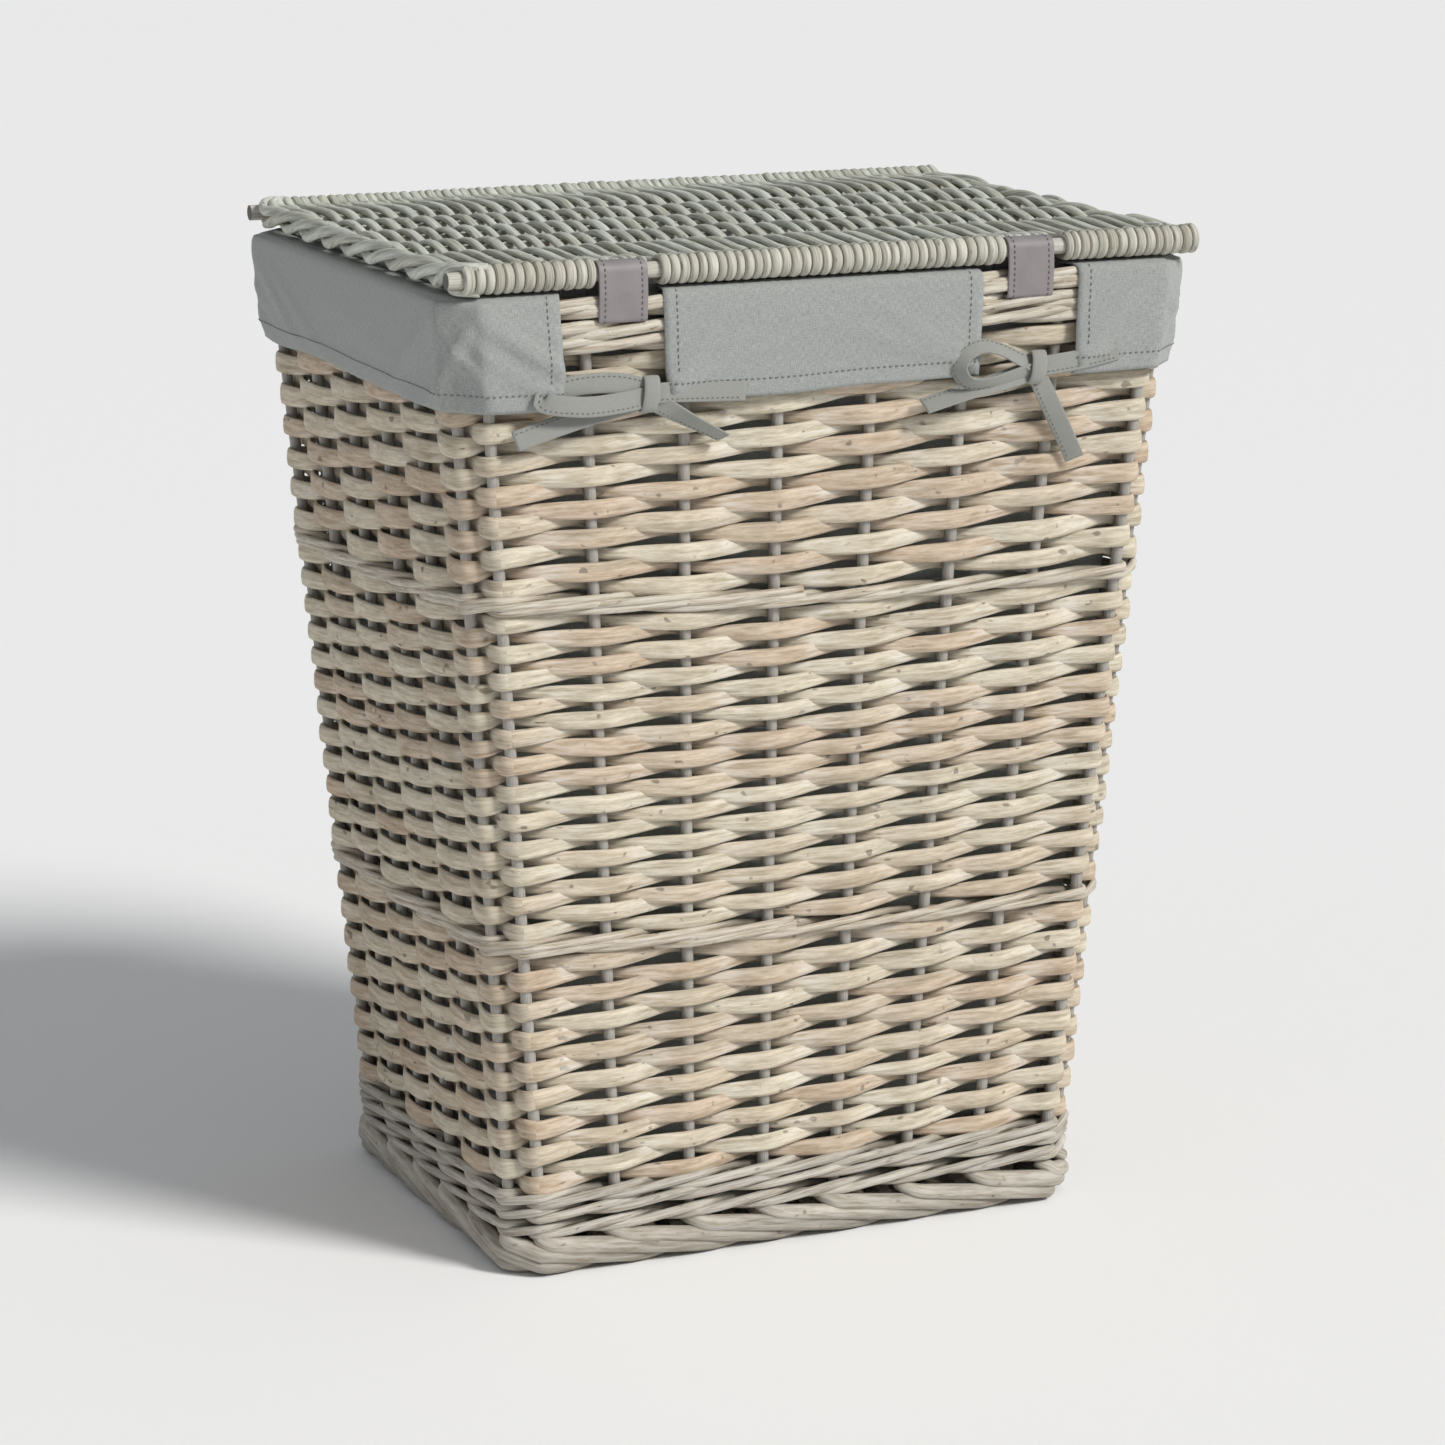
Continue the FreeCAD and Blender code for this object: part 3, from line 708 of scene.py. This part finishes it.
middle_low, middle_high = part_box("liner_cuff_front")
side_low, side_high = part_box("liner_cuff_sides")
left_strap_low, left_strap_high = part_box("left_hinge_strap")
right_strap_low, right_strap_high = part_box("right_hinge_strap")
CUFF_GAP_LEFT = 18.0 * MM
CUFF_GAP_RIGHT = 12.0 * MM
CUFF_SECTION = np.array([
    # inset from the wall's outside, height above the rim's top, and the share of the drape's folds
    [17.0, -8.0, 0.0],
    [16.6, -2.0, 0.0],
    [14.0, 0.5, 0.0],
    [7.0, 0.8, 0.0],
    [1.0, 0.3, 0.0],
    [-2.0, -2.6, 0.1],
    [-2.8, -8.0, 0.3],
    [-3.3, -18.0, 0.6],
    [-3.5, -30.0, 0.9],
    [-3.5, -45.0, 1.0],
    [-3.3, -60.0, 1.0],
])
CUFF_STEPS = 46
CORNER_FLARE = 3.6
HEM = 11.0 * MM


def cuff(name, node, start, end, seed):
    """The part of the cuff from one place to another: the section swept along the rim, with soft folds,
    slanting creases near the corners and a hem that wanders a little."""
    draw = np.random.default_rng(seed)
    columns = int((end - start) * 16)
    place = np.linspace(start, end, columns)
    section = smooth_keys(CUFF_SECTION, CUFF_STEPS)
    waves = slow_noise((CUFF_STEPS, columns), max(3, int((end - start) * 1.3)), draw)
    for _ in range(8):
        waves[1:-1] = (waves[:-2] + waves[1:-1] + waves[2:]) / 3
    creases = np.zeros((CUFF_STEPS, columns))
    down = np.clip(-section[:, 1] / 60, 0, 1)[:, None]
    for corner in CORNER_AT:
        for lean, reach, height in ((1.5, 0.9, 3.0), (-1.3, -1.2, 2.6), (2.0, 1.9, 1.8)):
            offset = np.mod(place[None] - corner - reach * 0.4 - lean * (down - 0.4) + UPRIGHTS / 2, UPRIGHTS)
            offset = offset - UPRIGHTS / 2
            creases += height * np.exp(-((offset / 0.16) ** 2)) * np.sin(np.pi * np.clip(down, 0, 1)) ** 0.7
    for edge, side in ((start, 1.0), (end, -1.0)):
        reach = (place[None] - edge) * side
        for fall, height in ((0.34, 3.4), (0.62, 3.0), (1.15, 2.0)):
            ridge = np.exp(-(((down - 0.92 + fall * reach) / 0.055) ** 2))
            creases += height * ridge * np.exp(-reach / 0.9) * (reach > 0)
    corner_flare = sum(
        np.exp(-(((np.mod(place - corner - 0.5 + UPRIGHTS / 2, UPRIGHTS) - UPRIGHTS / 2) / 0.75) ** 2))
        for corner in CORNER_AT[1::2]
    )
    hem_line = 1.2 * slow_noise((1, columns), max(3, int((end - start) * 0.8)), draw)[0]
    points = np.zeros((CUFF_STEPS, columns, 3))
    for row in range(CUFF_STEPS):
        inset, height, share = section[row]
        level = side_high.z - 1.5 * MM + height * MM
        line, out = wall_line(place, level, inset * MM)
        puff = share * (0.9 + 0.8 * np.abs(waves[row]) + 0.9 * creases[row])
        hem_bulge = 0.35 if height < -60 + HEM / MM else 0.0
        flare = CORNER_FLARE * corner_flare * np.abs(out[:, 0]) * (share > 0.05) * (1 - 1.5 * down[row, 0])
        line = line + out * ((puff + hem_bulge + flare) * MM)[:, None]
        line[:, 2] += hem_line * MM * down[row, 0] ** 2
        points[row] = line
    points[:, 1:-1] = (points[:, :-2] + 2 * points[:, 1:-1] + points[:, 2:]) / 4
    run = np.linalg.norm(np.diff(points[-8], axis=0), axis=-1)
    across = np.concatenate([[0], np.cumsum(run)])
    drop = np.concatenate([[0], np.cumsum(np.linalg.norm(np.diff(points[:, 0], axis=0), axis=-1))])
    made = cloth_piece(name, points[:, ::-1], across, drop, False, -LINEN_THICKNESS)
    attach(made, "basket")
    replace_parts(made, node)
    return points, across, drop


def stitches(name, line, out, body, paint, length=2.1 * MM, gap=1.5 * MM, half=0.27 * MM):
    """A row of stitches along a line of points: short threads that dip into the cloth at both ends."""
    hops = np.linalg.norm(np.diff(line, axis=0), axis=-1)
    along = np.concatenate([[0], np.cumsum(hops)])
    count = int(along[-1] / (length + gap))
    begin = np.arange(count)[:, None] * (length + gap) + gap / 2
    at = begin + np.linspace(0, length, 5)
    centre = np.stack([np.interp(at, along, line[:, i]) for i in range(3)], -1)
    facing = np.stack([np.interp(at, along, out[:, i]) for i in range(3)], -1)
    arch = np.array([-0.45, 0.12, 0.22, 0.12, -0.45]) * MM
    centre = centre + facing * arch[:, None]
    made = strands(name, centre, facing, half * 0.7, half, paint, sides=6)
    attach(made, body)
    return made


# Stitch thread painted darker than the cloth, as painted shade of its needle holes; the real thread is the linen's own
# colour.
thread_paint = linen("linen_thread", (0.13, 0.135, 0.125), (0.20, 0.205, 0.195))
left_gap = front_place(left_strap_low.x - CUFF_GAP_LEFT), front_place(left_strap_high.x + CUFF_GAP_RIGHT)
right_gap = front_place(right_strap_low.x - CUFF_GAP_LEFT), front_place(right_strap_high.x + CUFF_GAP_RIGHT)
CUFFS = {
    "middle": ("liner_cuff_front", left_gap[1], right_gap[0], 21),
    "round": ("liner_cuff_sides", right_gap[1], left_gap[0] + UPRIGHTS, 22),
}
for cuff_name, (node, start, end, seed) in CUFFS.items():
    points, across, drop = cuff("cuff_" + cuff_name + "_linen", node, start, end, seed)
    hem_row = int(np.argmin(np.abs(drop[-1] - drop - HEM)))
    outward = np.cross(np.gradient(points[hem_row], axis=0), (0, 0, 1.0))
    lines = {"hem": (points[hem_row], unit(outward))}
    inset_columns = int(np.searchsorted(across, 7 * MM))
    for end_name, column in (("start", inset_columns), ("end", -1 - inset_columns)):
        side_line = points[18:hem_row, column]
        lines[end_name] = (side_line, np.broadcast_to(unit(outward)[column], side_line.shape))
    for line_name, (line, facing) in lines.items():
        lifted = line + facing * 0.25 * MM
        stitches("_".join(("cuff", cuff_name, line_name, "stitches")), lifted, facing, "basket", thread_paint)

# ---------------------------------------------------------------------------
# Ties: folded linen tape sewn to the cuff's hem on both sides of each gap and
# tied in a bow under the strap.
# ---------------------------------------------------------------------------
TAPE_HALF_WIDTH = 5.6 * MM
TAPE_HALF_THICKNESS = 0.7 * MM
tape_paint = linen("tape_linen", (0.25, 0.255, 0.235), (0.37, 0.375, 0.345))


def tape(name, knot, ways, narrow=1.0):
    """Lengths of tape, each way a list of (x, height, off the wall, tilt) from the knot in millimetres and
    degrees. Tilt 0 lies flat on the wall and 90 stands on edge."""
    centres, facings, total = [], [], 0.0
    for way in ways:
        keys = smooth_keys(np.array(way, float), 44)
        x = knot[0] + keys[:, 0] * MM
        z = knot[1] + keys[:, 1] * MM
        y = -(half_width(z) + keys[:, 2] * MM)
        centre = np.stack([x, y, z], -1)
        run = unit(np.gradient(centre, axis=0))
        flat = np.broadcast_to(np.array([0.0, -1.0, 0.0]), run.shape)
        edge = np.cross(run, flat)
        tilt = np.radians(keys[:, 3])[:, None]
        centres.append(centre)
        facings.append(unit(flat * np.cos(tilt) + edge * np.sin(tilt)))
        total += float(np.linalg.norm(np.diff(centre, axis=0), axis=-1).sum())
    made = strands(
        name, np.array(centres), np.array(facings), TAPE_HALF_THICKNESS, TAPE_HALF_WIDTH * narrow,
        tape_paint, squareness=5.0, sides=16,
    )
    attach(made, "basket")
    for number, (centre, facing) in enumerate(zip(centres, facings)):
        across = np.cross(unit(np.gradient(centre, axis=0)), facing)
        # Seam near one edge in the darkened thread: painted shade standing for the tape's fold line as well as its
        # stitching.
        seam = centre + facing * TAPE_HALF_THICKNESS + across * TAPE_HALF_WIDTH * narrow * 0.62
        stitches(name + "_seam_" + str(number), seam, facing, "basket", thread_paint, 2.0 * MM, 1.0 * MM, 0.26 * MM)
    return made


def bow(side, ways_loop, ways_tails, knot_size, narrow_loop):
    """The knot's wrap, its loop and its tails, about the middle of the frame's knot."""
    low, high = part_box(side + "_tie_knot")
    knot = ((low.x + high.x) / 2, (low.z + high.z) / 2)
    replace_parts(tape(side + "_tie_loop_tape", knot, ways_loop, narrow_loop), side + "_tie_loop")
    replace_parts(tape(side + "_tie_tails_tape", knot, ways_tails), side + "_tie_tails")
    turn = np.linspace(0, 2 * np.pi, 28, endpoint=False)
    tall, deep = knot_size
    lean = 0.12
    z = knot[1] + tall * np.sin(turn)
    y = -(half_width(knot[1]) + 6.6 * MM) - deep * np.cos(turn)
    x = knot[0] + lean * tall * np.sin(turn)
    out = np.stack([0 * turn, -np.cos(turn) / deep, np.sin(turn) / tall], -1)
    wrap = strands(
        side + "_tie_knot_tape", np.stack([x, y, z], -1)[None], unit(out)[None], 0.9 * MM, 4.6 * MM, tape_paint,
        closed=True, squareness=3.0, sides=12,
    )
    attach(wrap, "basket")
    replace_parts(wrap, side + "_tie_knot")


bow(
    "left",
    [[(1, 2, 6.2, 0), (-18, 7, 6.0, 10), (-42, 7, 5.4, 5), (-58, 2, 6.6, 0), (-62, 0, 9.0, 0), (-55, -2, 11.4, 0),
      (-36, -4, 11.6, -10), (-16, -3, 10.0, -6), (1, -1, 7.2, 0)]],
    [[(0, -1, 6.4, 0), (-14, -5, 6.6, 0), (-40, -11, 5.8, 14), (-76, -21, 5.6, 20)],
     [(0, 0, 7.2, 0), (14, 0, 6.6, 0), (34, -1, 5.6, 0), (57, -2, 5.2, 0)],
     [(0, -2, 5.8, 0), (10, -8, 5.8, 24), (26, -17, 5.4, 50), (45, -27, 5.0, 62)]],
    (9.2 * MM, 4.2 * MM), 1.0,
)
bow(
    "right",
    [[(1, 1, 6.4, 30), (-10, 5, 6.6, 40), (-22, 11, 7.0, 48), (-34, 14, 7.6, 50), (-45, 10, 8.4, 50),
      (-49, 2, 9.0, 50), (-43, -6, 9.4, 48), (-30, -7, 9.4, 40), (-14, -4, 8.4, 30), (1, -1, 7.0, 20)]],
    [[(0, -1, 5.8, 0), (-14, -5, 6.4, 20), (-40, -11, 6.0, 50), (-68, -18, 5.6, 52)],
     [(0, 0, 6.6, 0), (14, 1, 6.4, 0), (34, 3, 5.6, 0), (52, 6, 5.2, 6)],
     [(0, -2, 5.6, 0), (5, -12, 6.0, 10), (15, -30, 5.6, 22), (28, -54, 5.0, 26)]],
    (8.6 * MM, 4.2 * MM), 0.9,
)

# ---------------------------------------------------------------------------
# Hinge straps: leather strips closed into loops round the lid's front rod and
# the rim's border, stitched along both edges.
# ---------------------------------------------------------------------------
LEATHER = (0.245, 0.222, 0.226)
STRAP_HALF_THICKNESS = 0.95 * MM
STRAP_CLEARANCE = 0.35 * MM
EDGE_STITCH = 3.4 * MM
leather_paint, leather_tree, leather_shader = material("strap_leather")
leather_place = add(leather_tree, "ShaderNodeTexCoord").outputs["Object"]
pebble = add(leather_tree, "ShaderNodeTexVoronoi", {"Vector": leather_place, "Scale": 1400.0}).outputs[0]
scuffs = add(leather_tree, "ShaderNodeTexNoise", {"Vector": leather_place, "Scale": 90.0, "Detail": 4.0}).outputs[0]
leather_mix = add(leather_tree, "ShaderNodeMix", {0: scuffs}, data_type="RGBA")
leather_mix.inputs[6].default_value = (LEATHER[0] * 0.82, LEATHER[1] * 0.82, LEATHER[2] * 0.82, 1)
leather_mix.inputs[7].default_value = (LEATHER[0] * 1.18, LEATHER[1] * 1.18, LEATHER[2] * 1.18, 1)
leather_bump = add(leather_tree, "ShaderNodeBump", {"Height": pebble, "Strength": 0.3, "Distance": 0.2 * MM})
leather_tree.links.new(leather_mix.outputs[2], leather_shader.inputs["Base Color"])
leather_tree.links.new(leather_bump.outputs[0], leather_shader.inputs["Normal"])
leather_shader.inputs["Roughness"].default_value = 0.55
strap_thread, _, strap_thread_shader = material("strap_thread")
strap_thread_shader.inputs["Base Color"].default_value = (0.15, 0.13, 0.135, 1)
strap_thread_shader.inputs["Roughness"].default_value = 0.8

rod_low, rod_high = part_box("lid_front_rod")
rod_y = (rod_low.y + rod_high.y) / 2
rod_z = (rod_low.z + rod_high.z) / 2
rod_radius = (rod_high.z - rod_low.z) / 2
border_low_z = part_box("rim_border")[0].z
rim_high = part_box("rim_border")[1].z


def belt_line(grow, steps):
    """A tight belt round the rod and the rim's section, grown outwards: for each direction, the furthest
    of the circles at the rod and at the section's corners, then spaced evenly along the belt."""
    section = [(-half_width(z) - 1.0 * MM, z) for z in (rim_high, border_low_z)]
    section += [(-half_width(z) + WALL + 1.0 * MM, z) for z in (border_low_z, rim_high)]
    circles = np.array([(rod_y, rod_z, rod_radius)] + [(y, z, 0.0) for y, z in section])
    angle = np.linspace(0, 2 * np.pi, 720, endpoint=False)
    way = np.stack([np.cos(angle), np.sin(angle)], -1)
    reach = circles[:, :2] @ way.T + circles[:, 2:]
    best = circles[np.argmax(reach, 0)]
    line = best[:, :2] + way * (best[:, 2:] + grow)
    closed = np.concatenate([line, line[:1]])
    along = np.concatenate([[0], np.cumsum(np.linalg.norm(np.diff(closed, axis=0), axis=-1))])
    at = np.linspace(0, along[-1], steps, endpoint=False)
    return np.stack([np.interp(at, along, closed[:, i]) for i in range(2)], -1)


for side, low, high in (
    ("left", left_strap_low, left_strap_high), ("right", right_strap_low, right_strap_high),
):
    line = belt_line(STRAP_CLEARANCE + STRAP_HALF_THICKNESS, 150)
    middle = (low.x + high.x) / 2
    half = (high.x - low.x) / 2
    centre = np.stack([np.full(len(line), middle), line[:, 0], line[:, 1]], -1)
    run = np.roll(centre, -1, 0) - np.roll(centre, 1, 0)
    facing = unit(np.cross(run, (1.0, 0, 0)))
    strap = strands(
        side + "_strap_leather", centre[None], facing[None], STRAP_HALF_THICKNESS, half, leather_paint,
        closed=True, squareness=9.0, sides=28,
    )
    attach(strap, "basket")
    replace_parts(strap, side + "_hinge_strap")
    for edge_name, x in (("left", middle - half + EDGE_STITCH), ("right", middle + half - EDGE_STITCH)):
        thread = np.stack([np.full(len(line), x), line[:, 0], line[:, 1]], -1) + facing * STRAP_HALF_THICKNESS
        thread = np.concatenate([thread, thread[:1]])
        outs = np.concatenate([facing, facing[:1]])
        stitches(
            "_".join((side, "strap", edge_name, "stitches")), thread, outs, "basket",
            strap_thread, length=2.0 * MM, gap=1.1 * MM, half=0.4 * MM,
        )

# ---------------------------------------------------------------------------
# Lid: thin rods woven from the hinge side to the far side, over and under five
# sticks, each bound round the thick rods at both ends. At the straps the front
# rod is left bare, and the thin rods turn back round a short stick.
# ---------------------------------------------------------------------------
LID_STICKS = 5
LID_STICK_RADIUS = 3.0 * MM
LID_ROD_HALF = 2.1 * MM
WRAP_RADIUS = 6.4 * MM
LEAVE_AT = 11.0 * MM
LEAVE_HEIGHT = 3.2 * MM
SHORT_STICK_Y = -148.5 * MM
SHORT_STICK_RADIUS = 1.7 * MM
BAY_STEPS = 9
ARC_STEPS = 9
lid_paint = willow(
    "lid_willow", (0.64, 0.665, 0.595), (0.54, 0.545, 0.46), (0.36, 0.37, 0.32), (0.72, 0.76, 0.71),
    relief=0.35 * MM,
)
wrap_paint = willow(
    "lid_wrap_willow", (0.60, 0.59, 0.505), (0.50, 0.48, 0.40), (0.33, 0.315, 0.265), (0.68, 0.69, 0.65),
    relief=0.25 * MM,
)
lid_rod_paint = willow(
    "lid_rod", (0.55, 0.53, 0.46), (0.48, 0.455, 0.385), (0.36, 0.34, 0.29), (0.70, 0.70, 0.67),
    along=(1.0, 160.0, 160.0), sawn_ends=True,
)
for node in ("lid_front_rod", "lid_back_rod", "lid_cross_sticks"):
    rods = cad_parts[node].data
    rods.materials.clear()
    rods.materials.append(lid_rod_paint if node != "lid_cross_sticks" else lid_paint)
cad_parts["lid_cross_sticks"].data.materials[0] = stick_paint

back_low, back_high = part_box("lid_back_rod")
back_y = (back_low.y + back_high.y) / 2
weave_low, weave_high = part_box("lid_weave")
wrap_low, wrap_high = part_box("lid_back_wrap")
NOTCHES = [(low.x - 1.5 * MM, high.x + 8.0 * MM) for low, high in (
    (left_strap_low, left_strap_high), (right_strap_low, right_strap_high),
)]
lid_draw = np.random.default_rng(77)
widths = lid_draw.uniform(4.6, 6.9, 400) * MM
edges = [wrap_low.x]
stops = [NOTCHES[0][0], NOTCHES[0][1], NOTCHES[1][0], NOTCHES[1][1], rod_high.x + 3.5 * MM]
bands = []
for stop in stops:
    begin = edges[-1]
    share = np.cumsum(widths[:max(1, round((stop - begin) / (5.75 * MM)))])
    widths = np.roll(widths, -len(share))
    for right in begin + share / share[-1] * (stop - begin):
        bands.append((edges[-1], right))
        edges.append(right)
bands = np.array(bands)
band_middle = bands.mean(1)
band_half = (bands[:, 1] - bands[:, 0]) / 2
in_notch = np.zeros(len(bands), bool)
for left, right in NOTCHES:
    in_notch |= (band_middle > left) & (band_middle < right)
stick_y = weave_high.y * (2 * (np.arange(LID_STICKS) + 1) / (LID_STICKS + 1) - 1)


def lid_path(over, front_y, front_radius):
    """(y, height) of one thin rod from under the back rod, round it, across the lid over and under the
    sticks, round the front rod or the short stick, and in under the lid; and where its parts begin."""
    swing = LID_STICK_RADIUS + LID_ROD_HALF
    arc = np.linspace(-np.pi / 2, np.pi / 2, ARC_STEPS)
    back = np.stack([back_y + WRAP_RADIUS * np.cos(arc), WRAP_RADIUS * np.sin(arc)], -1)
    tail = np.array([(back_y - 13 * MM, -3.6 * MM), (back_y - 6 * MM, -6.0 * MM)])
    nodes_y = np.concatenate([[back_y, back_y - LEAVE_AT], stick_y[::-1], [front_y + LEAVE_AT, front_y]])
    heights = swing * over * (-1.0) ** np.arange(LID_STICKS)
    nodes_z = np.concatenate([
        [WRAP_RADIUS, LEAVE_HEIGHT], heights, [min(LEAVE_HEIGHT, front_radius), front_radius],
    ])
    at = np.linspace(0, len(nodes_y) - 1, (len(nodes_y) - 1) * BAY_STEPS + 1)
    i = np.minimum(at.astype(int), len(nodes_y) - 2)
    share = at - i
    ease = (1 - np.cos(np.pi * share)) / 2
    across = np.stack([
        nodes_y[i] + (nodes_y[i + 1] - nodes_y[i]) * share, nodes_z[i] + (nodes_z[i + 1] - nodes_z[i]) * ease,
    ], -1)
    front = np.stack([front_y - front_radius * np.cos(arc[::-1]), front_radius * np.sin(arc[::-1])], -1)
    nose = np.array([(front_y + 6 * MM, -front_radius * 0.92), (front_y + 13 * MM, -front_radius * 0.55)])
    first = len(tail) + ARC_STEPS - 1
    return np.concatenate([tail, back, across[1:], front[1:], nose]), first, first + len(across) - 1


def lid_strands(chosen, front_y, front_radius):
    """Centres, outward directions and sizes of the chosen thin rods, with a little sway of each."""
    paths, tones = [], lid_draw.random(len(chosen))
    for band in chosen:
        path, first, last = lid_path(1.0 if band % 2 else -1.0, front_y, front_radius)
        paths.append(path)
    paths = np.array(paths)
    sway = slow_noise(paths.shape[:2], 7, lid_draw) * 0.55 * MM
    hold = np.ones(paths.shape[1])
    hold[:first + 1] = 0
    hold[last:] = 0
    for _ in range(6):
        hold = (np.roll(hold, 1) + hold + np.roll(hold, -1)) / 3
    x = band_middle[chosen][:, None] + sway * hold
    centre = np.stack([x, paths[..., 0], rod_z + paths[..., 1] + 0.3 * MM * slow_noise(paths.shape[:2], 9, lid_draw) * hold], -1)
    run = unit(np.gradient(centre, axis=1))
    out = np.cross(run, np.array([1.0, 0.0, 0.0]))
    tall = band_half[chosen][:, None] * (0.92 + 0.12 * hold)
    thick = LID_ROD_HALF * (0.95 + 0.05 * hold) * (1 + 0.05 * slow_noise(paths.shape[:2], 12, lid_draw))
    thick = thick * lid_draw.uniform(0.88, 1.06, (len(chosen), 1))
    return centre, out, thick, tall, tones, first, last


def finish_lid_piece(piece, slot, *nodes):
    """The piece rides on the lid and stands for the frame's nodes."""
    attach(piece, "lid")
    if nodes:
        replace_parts(piece, *nodes)


plain = np.flatnonzero(~in_notch)
centre, out, thick, tall, tones, first, last = lid_strands(plain, rod_y, WRAP_RADIUS)
# Painted shade: a thin rod is painted darker where it dips below the thick rods' middle, under the sticks and round
# the wraps, the wraps at about a third the strength.
surface_tuck = np.clip(0.1 - (centre[..., 2] - rod_z) / (12 * MM), 0, 0.5)
LID_PARTS = {
    "lid_woven_rods": (slice(first, last + 1), lid_paint, "lid_rods", "lid_weave"),
    "lid_front_wraps": (slice(last, None), wrap_paint, "lid_wraps", "lid_front_wrap"),
    "lid_back_wraps": (slice(None, first + 1), wrap_paint, "lid_wraps", "lid_back_wrap"),
}
for name, (part, paint, slot, node) in LID_PARTS.items():
    piece = strands(
        name, centre[:, part], out[:, part], thick[:, part], tall[:, part], paint, squareness=2.2, sides=10,
        tone=tones, wash=0.35, tuck=surface_tuck[:, part] * (1.0 if node == "lid_weave" else 0.35),
    )
    finish_lid_piece(piece, slot, node)

short = np.flatnonzero(in_notch)
centre, out, thick, tall, tones, first, last = lid_strands(short, SHORT_STICK_Y, SHORT_STICK_RADIUS + LID_ROD_HALF)
back_part = slice(None, first + 1)
finish_lid_piece(strands(
    "lid_short_back_wraps", centre[:, back_part], out[:, back_part], thick[:, back_part], tall[:, back_part],
    wrap_paint, sides=10, tone=tones, wash=0.35,
), "lid_wraps")
# Painted shade as on the other rods: darker where they dip below the thick rods' middle.
finish_lid_piece(strands(
    "lid_short_rods", centre[:, first:], out[:, first:], thick[:, first:], tall[:, first:] * 0.92, lid_paint,
    sides=10, tone=tones, wash=0.35, tuck=np.clip(0.1 - (centre[:, first:, 2] - rod_z) / (12 * MM), 0, 0.5),
), "lid_rods")
short_sticks = []
for left, right in NOTCHES:
    at = np.linspace(left - 14 * MM, right + 14 * MM, 12)
    short_sticks.append(np.stack([at, 0 * at + SHORT_STICK_Y, 0 * at + rod_z], -1))
finish_lid_piece(strands(
    "lid_short_sticks", np.array(short_sticks), np.array([0.0, 0.0, 1.0]), SHORT_STICK_RADIUS,
    SHORT_STICK_RADIUS, lid_paint, sides=10, tone=np.array([0.3, 0.6]), wash=0.2,
), "lid_rods")

# ---------------------------------------------------------------------------
# Lid's end borders: three rods twisted into a rope along each short end. At
# the corners they part, over and under the thick rod's sawn end.
# ---------------------------------------------------------------------------
ROPE_PITCH = 105.0 * MM
ROPE_RADIUS = 4.3 * MM
ROPE_ROD = 3.0 * MM
ROPE_STEPS = 110
CORNER_OVER = 6.6 * MM
CORNER_BEND = 11.0 * MM


def rope(side, node, seed):
    """Three rods on a helix about the border's line, which spread to fixed heights at both ends."""
    draw = np.random.default_rng(seed)
    low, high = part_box(node)
    x0 = (low.x + high.x) / 2
    y = np.linspace(rod_y - 3 * MM, back_y + 3 * MM, ROPE_STEPS)
    turn = 2 * np.pi * (y / ROPE_PITCH)[None] + np.arange(3)[:, None] * 2 * np.pi / 3
    wander = 0.5 * MM * slow_noise(turn.shape, 9, draw)
    x = x0 + ROPE_RADIUS * np.cos(turn) + wander
    z = rod_z + ROPE_RADIUS * np.sin(turn) + wander
    part = np.clip((np.abs(y) - (back_y - 24 * MM)) / (20 * MM), 0, 1)
    part = part ** 2 * (3 - 2 * part)
    lanes = np.array([CORNER_OVER, -CORNER_OVER, CORNER_OVER])[:, None] * (1.0 if side == "left" else 0.25)
    shelf = np.array([-0.5, 0.0, 4.6])[:, None] * MM * (1 if side == "left" else -1)
    z = z * (1 - part) + (rod_z + lanes) * part
    x = x * (1 - part) + (x0 + shelf) * part
    bend = np.clip((np.abs(y) - (back_y - 11 * MM)) / (14 * MM), 0, 1) ** 2 * CORNER_BEND
    x = x - math.copysign(1.0, x0) * bend
    centre = np.stack([x, np.broadcast_to(y, x.shape), z], -1)
    out = np.stack([np.cos(turn), 0 * turn, np.sin(turn)], -1)
    size = ROPE_ROD * (1 + 0.06 * slow_noise(turn.shape, 8, draw)) * (1 - 0.25 * part)
    piece = strands(
        "lid_" + side + "_rope", centre, out, size, size, lid_paint, squareness=2.0, sides=10,
        tone=draw.random(3), wash=0.45, tuck=0.1,
    )
    finish_lid_piece(piece, "lid_rods", node)


rope("left", "lid_left_braid", 91)
rope("right", "lid_right_braid", 92)
